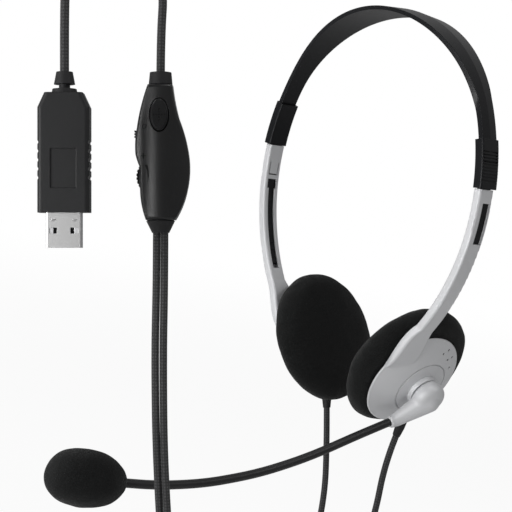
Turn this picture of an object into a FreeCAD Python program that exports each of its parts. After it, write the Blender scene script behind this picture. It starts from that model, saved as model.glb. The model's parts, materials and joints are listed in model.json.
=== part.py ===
"""Office headset with a microphone boom, an in-line control and a USB plug.

Parametric FreeCAD document, millimetres.  The origin lies midway between the
ear pads, where the wearer's head sits: +X is the wearer's left, -Y is the way
the wearer faces and +Z is up.
"""
import FreeCAD, Part
import math
import os

import Sketcher

V = FreeCAD.Vector
os.makedirs("parts", exist_ok=True)
doc = FreeCAD.newDocument("office_headset")

# ---------------------------------------------------------------- sizes ----
SIZES = {
    # headband: two arcs per side, measured on the centre line of the strip
    "band_front": -16.0, "crown_radius": 59.8, "crown_angle": 67.3,
    "crown_height": "=crown_radius + arm_drop - side_radius * cos(arm_end * 1 deg)"
                    " - (crown_radius - side_radius) * cos(crown_angle * 1 deg)",
    "side_radius": 94.0, "strip_end_angle": 79.0, "strip_thick": 2.2, "strip_ridge": 0.35,
    "crown_width": 21.6, "strip_width": 8.6,
    # slider: box sleeve and the ratchet tongue below it
    "sleeve_start": 73.5, "sleeve_end": 85.4, "sleeve_width": 10.2, "sleeve_outer": 1.8,
    "sleeve_inner": 2.6, "strip_play": 0.1, "grip_pitch": 1.25, "grip_depth": 0.35,
    "tongue_end": "=arm_end - 11.6", "tongue_thick": 1.8, "tongue_width": 6.2, "tongue_play": 0.15,
    "rung_first": 101.0, "rung_pitch": 2.0, "rung_height": 0.45,
    "rung_width": 3.0, "rung_length": 1.3,
    # arm: a hollow channel that runs on the tongue
    "arm_width": 8.4, "arm_outer": 1.1, "arm_wall": 0.8, "arm_gap": 0.25, "arm_end": 131.0,
    "arm_drop": 14.33, "arm_reach": 9.19, "root_start": "=arm_end - 6.5",
    "channel_end": "=arm_end - 9.5", "slot_width": 3.7, "slot_mouth": 5.4, "slot_start": 95.2,
    "slot_neck": 97.8, "latch_start": 90.4, "latch_end": 94.0, "latch_width": 4.9,
    "slit": 0.5, "window_start": 88.9, "window_end": 99.0, "window_width": 4.9,
    "window_shift": 0.95,
    # ear cup: its axis leans outwards and down
    "cup_offset": "=(crown_radius - side_radius) * sin(crown_angle * 1 deg)"
                  " + side_radius * sin(arm_end * 1 deg) - arm_reach",
    "cup_tilt": 25.5, "cup_toe": 3.3, "cover_back": 0.3, "cover_up": -2.5,
    "cover_radius": 22.6, "cover_height": 6.2, "cover_rim": 0.95, "cover_wall": 1.4,
    "baffle_radius": 25.0, "baffle_thick": 1.5, "neck_radius": 17.3, "neck_wall": 1.5,
    "pad_radius": 30.0, "pad_thick": 14.6, "pad_lip": 0.8, "pad_play": 0.3,
    "driver_radius": 15.0, "magnet_radius": 8.0, "magnet_height": 2.0,
    "vent_radius": 0.55, "grille_hole": 1.6,
    # boom pivot on the left cup, in the cup's own plane
    "pivot_back": 3.0, "pivot_up": -3.8, "ring_radius": 12.5, "ring_width": 0.45,
    "ring_depth": 0.35, "head_radius": 7.1, "head_wall": 11.6, "head_top": 15.2,
    "axle_radius": 1.6, "axle_play": 0.06, "boom_radius": 1.75, "boom_tip_radius": 1.5,
    "mic_length": 32.5, "mic_width": 22.0, "capsule_radius": 4.85, "capsule_length": 6.7,
    # cords
    "main_cord": 3.1, "ear_cord": 2.7, "gland_radius": 2.1, "gland_length": 6.5,
    "coil_radius": 18.6, "coil_section": 6.2,
    # in-line control
    "control_depth": 11.0, "control_wall": 1.3, "collar_length": 4.6,
    "wheel_radius": 7.0, "wheel_thick": 2.6, "button_wide": 6.6, "button_tall": 11.6,
    "button_rise": 0.9, "button_play": 0.25, "board_thick": 1.0,
    # USB plug
    "plug_wide": 17.6, "plug_tall": 40.5, "plug_thick": 8.6, "plug_shoulder": 5.0,
    "plug_chamfer": 2.3,
    "shell_wide": 12.0, "shell_thick": 4.5, "shell_long": 11.9, "shell_wall": 0.32,
    "relief_long": 7.2,
}
sheet = doc.addObject("Spreadsheet::Sheet", "Sizes")
for row, alias in enumerate(SIZES, 1):
    sheet.set("A%d" % row, alias)
    sheet.setAlias("B%d" % row, alias)
for row, value in enumerate(SIZES.values(), 1):
    sheet.set("B%d" % row, str(value))
doc.recompute()


def size(alias):
    value = sheet.get(alias)
    return float(getattr(value, "Value", value))


NODES = []


def node(obj, name):
    """Give a finished sub-part its node name and mark it for export."""
    obj.Label = name
    NODES.append(obj)
    return obj


# --------------------------------------------------------------- frames ----
def frame(name, place):
    plane = doc.addObject("Part::Plane", name)
    plane.Placement = place
    return plane


def axes(origin, right, up, out):
    return FreeCAD.Placement(origin, FreeCAD.Rotation(right, up, out, "ZXY"))


# The left cup's frame: X back, Y up in the cup's plane, Z outwards.
cup = doc.addObject("Part::Plane", "LeftCupFrame")
cup.setExpression(
    "Placement", "create(<<placement>>; create(<<vector>>; Sizes.cup_offset; 0; 0);"
    " create(<<rotation>>; 90 - Sizes.cup_toe; 0; 90 + Sizes.cup_tilt))")
# The control and the plug hang from their leads with the same slight lean.
LEAN = FreeCAD.Rotation(V(0.6588, 0.7323, 0.1726), V(-0.1993, -0.0513, 0.9786),
                        V(0.7254, -0.6791, 0.1122), "ZXY")
control = frame("ControlFrame", FreeCAD.Placement(V(12.8, -141.0, 77.9), LEAN))
plug = frame("PlugFrame", FreeCAD.Placement(V(15.8, -184.2, 74.0), LEAN))
doc.recompute()


def follow(obj, place):
    """Carry an object that was drawn at the origin to a frame."""
    obj.setExpression("Placement", place.Name + ".Placement")
    return obj


# ---------------------------------------------------------- shape tools ----
def role_plane(body, role):
    for feature in body.Origin.OriginFeatures:
        if feature.Role == role:
            return feature
    raise ValueError(role)


def sketch_on(body, role, name):
    sketch = body.newObject("Sketcher::SketchObject", name)
    sketch.AttachmentSupport = (role_plane(body, role), [""])
    sketch.MapMode = "FlatFace"
    return sketch


def pin(sketch, geo, pos, x_expr, y_expr):
    """Hold one point of a sketch at two sheet expressions."""
    for kind, expr in (("DistanceX", x_expr), ("DistanceY", y_expr)):
        value = evaluate(expr)
        if abs(value) < 1e-9:
            axis = -2 if kind == "DistanceX" else -1
            sketch.addConstraint(Sketcher.Constraint("PointOnObject", geo, pos, axis))
        else:
            index = sketch.addConstraint(Sketcher.Constraint(kind, -1, 1, geo, pos, value))
            sketch.setExpression("Constraints[%d]" % index, expr)


def evaluate(expr):
    value = sheet.evalExpression(expr.replace("Sizes.", ""))
    return float(getattr(value, "Value", value))


def profile(sketch, path):
    """Closed outline of lines and three-point arcs; the last point meets the first."""
    corners = [step[-1] for step in path]
    at = [V(evaluate(x), evaluate(y), 0) for x, y in corners]
    count = len(path)
    for i, step in enumerate(path):
        start, end = at[i - 1], at[i]
        if len(step) == 2:
            mid = V(evaluate(step[0][0]), evaluate(step[0][1]), 0)
            sketch.addGeometry(Part.Arc(start, mid, end), False)
        else:
            sketch.addGeometry(Part.LineSegment(start, end), False)
    swapped = []
    for i, step in enumerate(path):
        geo = sketch.Geometry[i]
        first = geo.StartPoint
        swapped.append(first.distanceToPoint(at[i - 1]) > 1e-6)
    ends = [(2, 1) if s else (1, 2) for s in swapped]
    for i in range(count):
        sketch.addConstraint(Sketcher.Constraint(
            "Coincident", i - 1 if i else count - 1, ends[i - 1][1], i, ends[i][0]))
    for i, step in enumerate(path):
        pin(sketch, i, ends[i][1], *corners[i])
        if len(step) == 2:
            mark = sketch.addGeometry(Part.Point(V(evaluate(step[0][0]), evaluate(step[0][1]), 0)), True)
            pin(sketch, mark, 1, *step[0])
            sketch.addConstraint(Sketcher.Constraint("PointOnObject", mark, 1, i))


def turned(name, path, place=None):
    """A PartDesign body turned about its Z axis; path holds (radius, height) pairs."""
    body = doc.addObject("PartDesign::Body", name)
    sketch = sketch_on(body, "XZ_Plane", name + "_profile")
    profile(sketch, path)
    turn = body.newObject("PartDesign::Revolution", name + "_turn")
    turn.Profile = sketch
    turn.ReferenceAxis = (sketch, ["V_Axis"])
    turn.Angle = 360
    body.Tip = turn
    if place is not None:
        follow(body, place)
    return body


def padded(name, role, path, length, reverse=False, symmetric=False):
    body = doc.addObject("PartDesign::Body", name)
    sketch = sketch_on(body, role, name + "_outline")
    profile(sketch, path)
    pad = body.newObject("PartDesign::Pad", name + "_pad")
    pad.Profile = sketch
    pad.setExpression("Length", length)
    pad.Midplane = symmetric
    pad.Reversed = reverse
    body.Tip = pad
    return body


def holes(body, name, role, circles, count=1, through=True):
    """Pocket round holes right through a body, repeated about Z where count > 1."""
    sketch = sketch_on(body, role, name + "_holes")
    for i, (x, y, r) in enumerate(circles):
        sketch.addGeometry(Part.Circle(V(evaluate(x), evaluate(y), 0), V(0, 0, 1), evaluate(r)), False)
        pin(sketch, i, 3, x, y)
        index = sketch.addConstraint(Sketcher.Constraint("Radius", i, evaluate(r)))
        sketch.setExpression("Constraints[%d]" % index, r)
    cut = body.newObject("PartDesign::Pocket", name + "_pocket")
    cut.Profile = sketch
    cut.Type = 1
    cut.Midplane = True
    body.Tip = cut
    if count > 1:
        doc.recompute()
        ring = body.newObject("PartDesign::PolarPattern", name + "_ring")
        ring.Originals = [cut]
        ring.Axis = (sketch, ["N_Axis"])
        ring.Angle = 360
        ring.Occurrences = count
        body.Tip = ring
    return body


def primitive(kind, name, base=("0", "0", "0"), turn=None, **props):
    obj = doc.addObject("Part::" + kind, name)
    for prop, expr in props.items():
        obj.setExpression(prop, expr)
    for letter, expr in zip("xyz", base):
        if expr != "0":
            obj.setExpression("Placement.Base." + letter, expr)
    if turn is not None:
        obj.Placement.Rotation = FreeCAD.Rotation(*turn)
    return obj


def cut(name, base, tool):
    obj = doc.addObject("Part::Cut", name)
    obj.Base, obj.Tool = base, tool
    return obj


def fuse(name, *parts):
    obj = doc.addObject("Part::MultiFuse", name)
    obj.Shapes = list(parts)
    return obj


def common(name, base, tool):
    obj = doc.addObject("Part::Common", name)
    obj.Base, obj.Tool = base, tool
    return obj


def feature(name, shape, place=None):
    obj = doc.addObject("Part::Feature", name)
    obj.Shape = shape
    if place is not None:
        follow(obj, place)
    return obj


def mirror(source, name):
    obj = doc.addObject("Part::Mirroring", name + "_mirror")
    obj.Source = source
    obj.Normal = V(1, 0, 0)
    return node(obj, name)


# The band's centre line: arc 1 about the crown centre, arc 2 about the side centre.
rad = math.radians
FRONT = size("band_front")
CROWN = V(0, FRONT, size("crown_height") - size("crown_radius"))
JOIN = size("crown_angle")
SIDE = CROWN + (V(math.sin(rad(JOIN)), 0, math.cos(rad(JOIN)))
                * (size("crown_radius") - size("side_radius")))


def arc_bar(centre, low, high, y_low, y_high, start, end):
    """A bar with a rectangular section, turned about a centre's Y axis between two angles
    that are counted from straight up towards the wearer's left."""
    corners = [V(low, y_low, 0), V(high, y_low, 0), V(high, y_high, 0), V(low, y_high, 0)]
    ring = Part.makePolygon([V(0, c.y, c.x) for c in corners] + [V(0, corners[0].y, corners[0].x)])
    face = Part.Face(ring)
    face.rotate(V(0, 0, 0), V(0, 1, 0), start)
    bar = face.revolve(V(0, 0, 0), V(0, 1, 0), end - start)
    bar.translate(centre)
    return bar


def side_bar(inner, outer, half, start, end, shift=0.0):
    """The same about the side centre, from offsets inside and outside the centre line."""
    radius = size("side_radius")
    return arc_bar(SIDE, radius - inner, radius + outer, shift - half, shift + half, start, end)


# ------------------------------------------------------------- headband ----
def roof(centre, radius, start, end):
    """Strip section with a shallow roof on its outer face, turned about one arc's centre."""
    half = size("crown_width") / 2
    thick = size("strip_thick") / 2
    fall = size("strip_ridge") * half / (size("strip_width") / 2)
    points = [(-thick, -half), (thick + size("strip_ridge") - fall, -half),
              (thick + size("strip_ridge"), 0), (thick + size("strip_ridge") - fall, half),
              (-thick, half)]
    ring = Part.makePolygon([V(0, y, radius + r) for r, y in points + points[:1]])
    face = Part.Face(ring)
    face.rotate(V(0, 0, 0), V(0, 1, 0), start)
    bar = face.revolve(V(0, 0, 0), V(0, 1, 0), end - start)
    bar.translate(centre)
    return bar


def headband():
    crown = roof(CROWN, size("crown_radius"), -JOIN, JOIN)
    left = roof(SIDE, size("side_radius"), JOIN, size("strip_end_angle"))
    right = left.mirror(V(0, 0, 0), V(1, 0, 0))
    strip = crown.fuse([left, right]).removeSplitter()
    # plan outline: broad over the crown, narrow down the sides
    wide, slim = size("crown_width") / 2, size("strip_width") / 2
    reach, straight = size("crown_radius") + 12, 57.5
    taper = [(0, 1.0), (24, 0.80), (43, 0.36), (52, 0.09), (straight, 0.0)]
    edge = [V(x, slim + (wide - slim) * share, 0) for x, share in taper]
    edge = [V(-p.x, p.y, 0) for p in reversed(edge[1:])] + edge
    curve = Part.BSplineCurve()
    curve.interpolate(Points=edge, InitialTangent=V(1, 0, 0), FinalTangent=V(1, 0, 0))
    back = [curve.toShape(), Part.makeLine(V(-reach, slim, 0), edge[0]),
            Part.makeLine(edge[-1], V(reach, slim, 0))]
    front = [e.mirror(V(0, 0, 0), V(0, 1, 0)) for e in back]
    ends = [Part.makeLine(V(s * reach, -slim, 0), V(s * reach, slim, 0)) for s in (-1, 1)]
    face = Part.Face(Part.Wire(Part.__sortEdges__(back + front + ends)))
    face.translate(V(0, FRONT, 0))
    plan = face.extrude(V(0, 0, 400))
    strip = strip.common(plan)
    return node(feature("HeadbandStrip", strip), "headband_strip")


def slider():
    """Sleeve that grips the strip's end, in one piece with the ratchet tongue."""
    half = size("sleeve_width") / 2
    start, end = size("sleeve_start"), size("sleeve_end")
    sleeve = side_bar(size("sleeve_inner"), size("sleeve_outer"), half, start, end)
    corners = [e for e in sleeve.Edges if e.Length > 15]
    sleeve = sleeve.makeFillet(0.8, corners)
    sleeve = sleeve.fuse(side_bar(tongue_inner(), tongue_outer(), size("tongue_width") / 2,
                                  end - 0.5, size("tongue_end")))
    play = size("strip_play")
    pocket = side_bar(size("strip_thick") / 2 + play,
                      size("strip_thick") / 2 + size("strip_ridge") + play,
                      size("strip_width") / 2 + play, start - 1, size("strip_end_angle") + 0.2)
    sleeve = sleeve.cut(pocket)
    # finger grips across the outer face
    step = math.degrees(size("grip_pitch") / size("side_radius"))
    first = start + 0.25 * (end - start)
    grips = []
    for i in range(int((end - 0.8 - first) / step)):
        at = first + i * step
        grips.append(side_bar(-(size("sleeve_outer") - size("grip_depth")),
                              size("sleeve_outer") + 1, half + 1, at, at + step / 2, 0))
    sleeve = sleeve.cut(grips)
    rungs = []
    count = int((size("tongue_end") - 0.9 - size("rung_first")) / size("rung_pitch")) + 1
    for i in range(count):
        at = size("rung_first") + i * size("rung_pitch")
        spread = math.degrees(size("rung_length") / size("side_radius")) / 2
        rungs.append(side_bar(tongue_inner() + size("rung_height"), 0.0 - tongue_inner() + 0.2,
                              size("rung_width") / 2, at - spread, at + spread))
    return sleeve.fuse(rungs).removeSplitter()


def tongue_inner():
    return size("tongue_thick") * 0.5 + tongue_centre()


def tongue_outer():
    return size("tongue_thick") * 0.5 - tongue_centre()


def tongue_centre():
    """The tongue runs in the middle of the arm's channel, inside the strip's centre line."""
    return (arm_inner() - size("arm_outer")) / 2


def arm_inner():
    return (size("tongue_thick") + 2 * size("tongue_play") + 2 * size("arm_wall")
            - size("arm_outer"))


# ------------------------------------------------------------------ arm ----
def arm_cover():
    """Hollow arm that ends as a ridge on the cup's outer cover, one moulding."""
    gap = math.degrees(size("arm_gap") / size("side_radius"))
    start = size("sleeve_end") + gap
    arm = side_bar(arm_inner(), size("arm_outer"), size("arm_width") / 2, start,
                   size("root_start"))
    long_edges = [e for e in arm.Edges if e.Length > 40]
    arm = arm.makeFillet(0.9, long_edges)
    dome, inside, groove = cover_solid(0.0), cover_solid(size("cover_wall")), ring_groove()
    for shape in (dome, inside, groove):
        in_cup(shape)
    cover = dome.cut(groove).fuse(arm).fuse(arm_root())
    play = size("tongue_play")
    channel = side_bar(tongue_inner() + play, tongue_outer() + play,
                       size("tongue_width") / 2 + play, start - 1, size("channel_end"))
    depth = arm_inner() + 1
    slot = side_bar(depth, -tongue_inner(), size("slot_width") / 2,
                    size("slot_start"), size("channel_end") - 0.5)
    mouth = side_bar(depth, -tongue_inner(), size("slot_mouth") / 2,
                     size("slot_start"), size("slot_neck"))
    window = side_bar(-tongue_outer(), size("arm_outer") + 1, size("window_width") / 2,
                      size("window_start"), size("window_end"), size("window_shift"))
    slit = size("slit")
    slit_angle = math.degrees(slit / size("side_radius"))
    latch = [side_bar(depth, -tongue_inner(), slit / 2, size("latch_start"), size("latch_end"),
                      side * size("latch_width") / 2) for side in (-1, 1)]
    latch.append(side_bar(depth, -tongue_inner(), (size("latch_width") + slit) / 2,
                          size("latch_end") - slit_angle, size("latch_end")))
    cover = cover.cut([inside, channel, slot, mouth, window] + latch)
    cover = cover.cut([gland_rod(0.05)] + vents())
    solids = sorted(cover.Solids, key=lambda s: s.Volume)
    if solids[-1].Volume < 0.98 * cover.Volume:
        raise SystemExit("the arm and the cover are not one moulding")
    return solids[-1].removeSplitter()


def cover_solid(wall):
    """Domed cover of the cup, or the hollow inside it, turned about the cup's axis."""
    radius, height, rim = size("cover_radius") - wall, size("cover_height") - wall, size("cover_rim")
    foot = rim - 1 if wall else rim
    shoulder = V(radius - 0.3, 0, rim + 0.2) if wall else V(radius - 0.9, 0, rim + 0.9)
    # the dome is a cap of the sphere through its top and its shoulder
    rise = height - shoulder.z
    ball = (shoulder.x ** 2 + rise ** 2) / (2 * rise)
    middle = math.asin(shoulder.x / ball) / 2
    points = [V(0, 0, foot), V(radius, 0, foot)]
    edges = [Part.makeLine(points[0], points[1])]
    if wall:
        edges.append(Part.makeLine(points[1], shoulder))
    else:
        edges.append(Part.Arc(points[1], V(radius - 0.26, 0, rim + 0.64), shoulder).toShape())
    edges.append(Part.Arc(shoulder, V(ball * math.sin(middle), 0,
                                      height - ball * (1 - math.cos(middle))),
                          V(0, 0, height)).toShape())
    edges.append(Part.makeLine(V(0, 0, height), points[0]))
    solid = Part.Face(Part.Wire(edges)).revolve(V(0, 0, 0), V(0, 0, 1), 360)
    solid.translate(V(size("cover_back"), size("cover_up"), 0))
    return solid


def ring_groove():
    """Shallow groove in the dome, round the boom's pivot."""
    radius, half = size("ring_radius"), size("ring_width") / 2
    ring = Part.makeCylinder(radius + half, 12, pivot_point(0)).cut(
        Part.makeCylinder(radius - half, 12, pivot_point(0)))
    return ring.cut(cover_solid(size("ring_depth")))


def rounded(corners, radius):
    """Closed wire through four corners in one plane, each eased by an arc."""
    edges, ends = [], []
    for i, corner in enumerate(corners):
        before = (corners[i - 1] - corner).normalize()
        after = (corners[(i + 1) % 4] - corner).normalize()
        middle = corner + (before + after).normalize() * radius * (math.sqrt(2) - 1)
        ends.append((corner + before * radius, middle, corner + after * radius))
    for i, (start, middle, end) in enumerate(ends):
        edges += [Part.Arc(start, middle, end).toShape(),
                  Part.makeLine(end, ends[(i + 1) % 4][0])]
    return Part.Wire(edges)


def arm_root():
    """The arm's lower end: it spreads over the cover's front edge and sinks into the dome."""
    at = rad(size("root_start"))
    out = V(math.sin(at), 0, math.cos(at))
    centre, half = SIDE + out * size("side_radius"), V(0, size("arm_width") / 2, 0)
    low, high = centre - out * arm_inner(), centre + out * size("arm_outer")
    sections = [rounded([low - half, high - half, high + half, low + half], 0.9)]
    rim = size("cover_rim")
    front = size("cover_back") - size("cover_radius")
    for y, left, right, top, ease in ((17.5, front + 1.0, -8.6, 5.0, 1.2),
                                      (11.5, front + 0.6, -8.4, 4.7, 1.2),
                                      (5.0, front + 0.7, -9.2, 2.6, 0.6)):
        corners = [V(left, y, rim), V(left, y, top), V(right, y, top), V(right, y, rim)]
        sections.append(rounded([cup.Placement.multVec(c) for c in corners], ease))
    return Part.makeLoft(sections, True, False)


def vents():
    """Five small holes in a loose cluster near the cover's rear edge."""
    bores = []
    for x, y in [(9.6, 15.0), (6.6, 13.6), (11.0, 10.6), (13.8, 11.4), (14.8, 6.4)]:
        bore = Part.makeCylinder(size("vent_radius"), 20, V(x, y, -5))
        bore.Placement = cup.Placement.multiply(bore.Placement)
        bores.append(bore)
    return bores


GLAND = {"back": 6.4, "up": -20.5, "out": 3.0}
GLAND_WAY = V(-0.26, 0, -0.966).normalize()


def gland_top():
    return cup.Placement.multVec(V(GLAND["back"], GLAND["up"], GLAND["out"]))


def gland_rod(extra):
    top = gland_top()
    return Part.makeCylinder(size("gland_radius") + extra, size("gland_length"),
                             top, GLAND_WAY)


def gland():
    """Strain relief that drops out of the cup's lower edge: a collar and a tapered sleeve."""
    top = gland_top()
    radius, length = size("gland_radius"), size("gland_length")
    collar = Part.makeCylinder(radius, length, top, GLAND_WAY)
    taper = Part.makeCone(radius, size("ear_cord") / 2 + 0.35, 4.0,
                          top + GLAND_WAY * length, GLAND_WAY)
    hollow = Part.makeCylinder(size("ear_cord") / 2 + 0.02, 3.0,
                               top + GLAND_WAY * (length + 4.0 - 3.0), GLAND_WAY)
    return collar.fuse(taper).removeSplitter().cut(hollow)


# -------------------------------------------------------------- ear cup ----
def baffle():
    """Dished plate that holds the speaker; the foam pad is stretched over its flange."""
    rim = "-Sizes.pad_lip + 0.1"
    back = "-Sizes.baffle_thick - 0.7"
    body = turned("Baffle", [
        [("0", back)],
        [("Sizes.baffle_radius - 2", back)],
        [("Sizes.baffle_radius - 1.2", "-Sizes.baffle_thick - 2.4")],
        [("Sizes.baffle_radius", "-Sizes.baffle_thick - 2.4")],
        [("Sizes.baffle_radius", rim)],
        [("Sizes.neck_radius", rim)],
        [("Sizes.neck_radius", "1.5")],
        [("Sizes.neck_radius - Sizes.neck_wall", "1.5")],
        [("Sizes.neck_radius - Sizes.neck_wall", rim)],
        [("0", rim)],
    ])
    holes(body, "Grille", "XY_Plane", [("6", "0", "Sizes.grille_hole")], 6)
    doc.recompute()
    holes(body, "GrilleOuter", "XY_Plane", [("10.5", "0", "Sizes.grille_hole")], 10)
    return follow(body, cup)


def ear_pad():
    """Foam cover: a thick cushion with a pocket that closes over the baffle's flange."""
    lip = "Sizes.pad_lip"
    return turned("EarPad", [
        [("0", "-Sizes.pad_thick")],
        [("Sizes.pad_radius * 0.42", "-Sizes.pad_thick * 0.965"),
         ("Sizes.pad_radius * 0.80", "-Sizes.pad_thick * 0.83")],
        [("Sizes.pad_radius * 0.955", "-Sizes.pad_thick * 0.66"),
         ("Sizes.pad_radius", "-Sizes.pad_thick * 0.43")],
        [("Sizes.pad_radius * 0.95", "-Sizes.pad_thick * 0.10"), ("Sizes.pad_radius * 0.82", lip)],
        [("Sizes.neck_radius + Sizes.pad_play", lip)],
        [("Sizes.neck_radius + Sizes.pad_play", "-Sizes.pad_lip + 0.3")],
        [("Sizes.baffle_radius + Sizes.pad_play", "-Sizes.pad_lip + 0.3")],
        [("Sizes.baffle_radius + Sizes.pad_play", "-Sizes.baffle_thick - 2.6")],
        [("0", "-Sizes.baffle_thick - 2.6")],
    ], cup)


def driver_frame():
    seat = "-Sizes.pad_lip + 0.1"
    return turned("DriverFrame", [
        [("Sizes.driver_radius - 1.8", seat)],
        [("Sizes.driver_radius", seat)],
        [("Sizes.driver_radius", "0.5")],
        [("Sizes.magnet_radius + 1", "1.7")],
        [("Sizes.magnet_radius - 1", "1.7")],
        [("Sizes.magnet_radius - 1", "0.9")],
        [("Sizes.magnet_radius + 0.6", "0.9")],
        [("Sizes.driver_radius - 1.8", "0.1")],
    ], cup)


def diaphragm():
    edge = "Sizes.driver_radius - 1.8"
    return turned("Diaphragm", [
        [("0", "0.45")],
        [("Sizes.magnet_radius * 0.4", "0.3")],
        [("Sizes.magnet_radius * 0.62", "-0.15")],
        [(edge, "-0.45")],
        [(edge, "-0.2")],
        [("Sizes.magnet_radius * 0.64", "0.12")],
        [("Sizes.magnet_radius * 0.42", "0.55")],
        [("0", "0.7")],
    ], cup)


def magnet():
    body = turned("Magnet", [
        [("0", "1.7")],
        [("Sizes.magnet_radius", "1.7")],
        [("Sizes.magnet_radius", "1.7 + Sizes.magnet_height - 0.4")],
        [("Sizes.magnet_radius - 0.4", "1.7 + Sizes.magnet_height")],
        [("0", "1.7 + Sizes.magnet_height")],
    ], cup)
    return body


def ear_cup():
    pieces = [
        (feature("ArmCover", arm_cover()), "arm_cover"),
        (baffle(), "speaker_baffle"),
        (driver_frame(), "speaker_frame"),
        (diaphragm(), "speaker_diaphragm"),
        (magnet(), "speaker_magnet"),
        (ear_pad(), "ear_pad"),
        (feature("Gland", gland()), "cord_gland"),
    ]
    for obj, name in pieces:
        node(obj, "left_" + name)
    doc.recompute()
    for obj, name in pieces:
        mirror(obj, "right_" + name)


# ------------------------------------------------------------ boom pivot ----
def in_cup(shape):
    shape.Placement = cup.Placement.multiply(shape.Placement)
    return shape


def pivot_point(out):
    return V(size("pivot_back"), size("pivot_up"), out)


BOOM_ROUTE = [cup.Placement.Base + V(*offset) for offset in (
    (0.8, -8.6, -20.4), (-0.8, -26.0, -26.4), (-2.6, -50.5, -35.2), (-4.6, -75.5, -41.6),
    (-7.0, -100.5, -45.0), (-9.3, -122.0, -45.4), (-11.5, -142.0, -43.6))]
HOUSING_SPLIT = 10.4
HOUSING_FOOT = 8.3


def cone_between(start, end, r_start, r_end):
    way = end - start
    if r_start == r_end:
        return Part.makeCylinder(r_start, way.Length, start, way)
    return Part.makeCone(r_start, r_end, way.Length, start, way)


def pivot():
    """Boss, axle and washer on the left cup, and the two housing halves on the boom."""
    seat = HOUSING_FOOT - 0.3
    axle, play = size("axle_radius"), size("axle_play")
    dome = cover_solid(0.0)
    boss = Part.makeCone(size("head_radius") + 0.8, size("head_radius") - 0.3, seat - 3.0,
                         pivot_point(3.0)).cut(dome)
    boss = sorted(boss.Solids, key=lambda s: s.Volume)[-1]
    boss = boss.cut(Part.makeCylinder(axle, 4, pivot_point(seat - 1.0)))
    node(feature("PivotBoss", in_cup(boss)), "pivot_boss")
    top = size("head_top") - 1.6
    pin_shape = Part.makeCylinder(axle, top - (seat - 1.0), pivot_point(seat - 1.0))
    pin_shape = pin_shape.fuse(Part.makeCylinder(axle + 1.2, 0.8, pivot_point(top)))
    node(feature("PivotAxle", in_cup(pin_shape.removeSplitter())), "pivot_axle")
    washer = Part.makeCylinder(axle + 2.6, 0.25, pivot_point(seat + 0.05)).cut(
        Part.makeCylinder(axle + play, 1, pivot_point(seat - 0.3)))
    node(feature("PivotWasher", in_cup(washer)), "pivot_washer")

    head_r, wall_top, crest = size("head_radius"), size("head_wall"), size("head_top")
    fall = crest - wall_top
    corners = [V(0, 0, HOUSING_FOOT), V(head_r, 0, HOUSING_FOOT), V(head_r, 0, wall_top),
               V(head_r * 0.62, 0, crest - 0.22 * fall), V(0, 0, crest)]
    half_head = Part.Wire([
        Part.makeLine(corners[0], corners[1]), Part.makeLine(corners[1], corners[2]),
        Part.Arc(corners[2], V(head_r * 0.90, 0, crest - 0.55 * fall), corners[3]).toShape(),
        Part.Arc(corners[3], V(head_r * 0.32, 0, crest - 0.055 * fall), corners[4]).toShape(),
        Part.makeLine(corners[4], corners[0])])
    head = Part.Face(half_head).revolve(V(0, 0, 0), V(0, 0, 1), 360)
    head.translate(pivot_point(0))
    to_cup = cup.Placement.inverse()
    tip = to_cup.multVec(BOOM_ROUTE[0])
    lead = to_cup.multVec(BOOM_ROUTE[1]) - tip
    lead.normalize()
    root = pivot_point(HOUSING_FOOT + 3.0) + V(0, -1.0, 0)
    neck = cone_between(root, tip - lead * 1.0, 5.4, 2.9)
    spout = cone_between(tip - lead * 3.4, tip + lead * 1.6, 2.9, 2.5)
    shape = head.fuse([neck, spout, Part.makeSphere(2.9, tip - lead * 2.4)]).removeSplitter()
    floor = Part.makeBox(120, 120, 20, V(-60, -60, HOUSING_FOOT - 20))
    shape = shape.cut(floor)
    shape = shape.cut([
        Part.makeCylinder(axle + play, 10, pivot_point(HOUSING_FOOT - 1)),
        Part.makeCylinder(axle + 1.2 + 0.15, 1.2, pivot_point(top - 0.15)),
        cone_between(tip - lead * 2.0, tip + lead * 6, size("boom_radius"), size("boom_radius")),
    ])
    slab = Part.makeBox(120, 120, 40, V(-60, -60, HOUSING_SPLIT))
    outer, inner = shape.common(slab), shape.cut(slab)
    for half, name in ((inner, "pivot_housing_inner"), (outer, "pivot_housing_outer")):
        solid = sorted(half.Solids, key=lambda s: s.Volume)[-1]
        node(feature(name.title().replace("_", ""), in_cup(solid)), name)


def tube(points, radius, end_radius=None, report=None):
    """Round tube along straight runs joined by tangent arcs as large as the runs allow."""
    runs = [(b - a) for a, b in zip(points, points[1:])]
    edges, at, radii = [], points[0], []
    for i in range(1, len(points) - 1):
        before, after = runs[i - 1], runs[i]
        turn = before.getAngle(after)
        reach = 0.45 * min(before.Length, after.Length)
        radii.append(reach / math.tan(turn / 2))
        back = V(before).normalize()
        ahead = V(after).normalize()
        start, end = points[i] - back * reach, points[i] + ahead * reach
        middle = points[i] + ((ahead - back).normalize()
                              * (radii[-1] / math.cos(turn / 2) - radii[-1]))
        edges += [Part.LineSegment(at, start).toShape(), Part.Arc(start, middle, end).toShape()]
        at = end
    edges.append(Part.LineSegment(at, points[-1]).toShape())
    path = Part.Wire(edges)
    ring = Part.Wire(Part.Circle(points[0], runs[0], radius).toShape())
    solid = path.makePipeShell([ring], True, True)
    if report:
        gap = solid.Volume / (math.pi * radius ** 2 * path.Length)
        print("%s: length %.0f, arc radii %s, volume ratio %.3f" % (
            report, path.Length, " ".join("%.0f" % r for r in radii), gap))
    return solid


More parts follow.
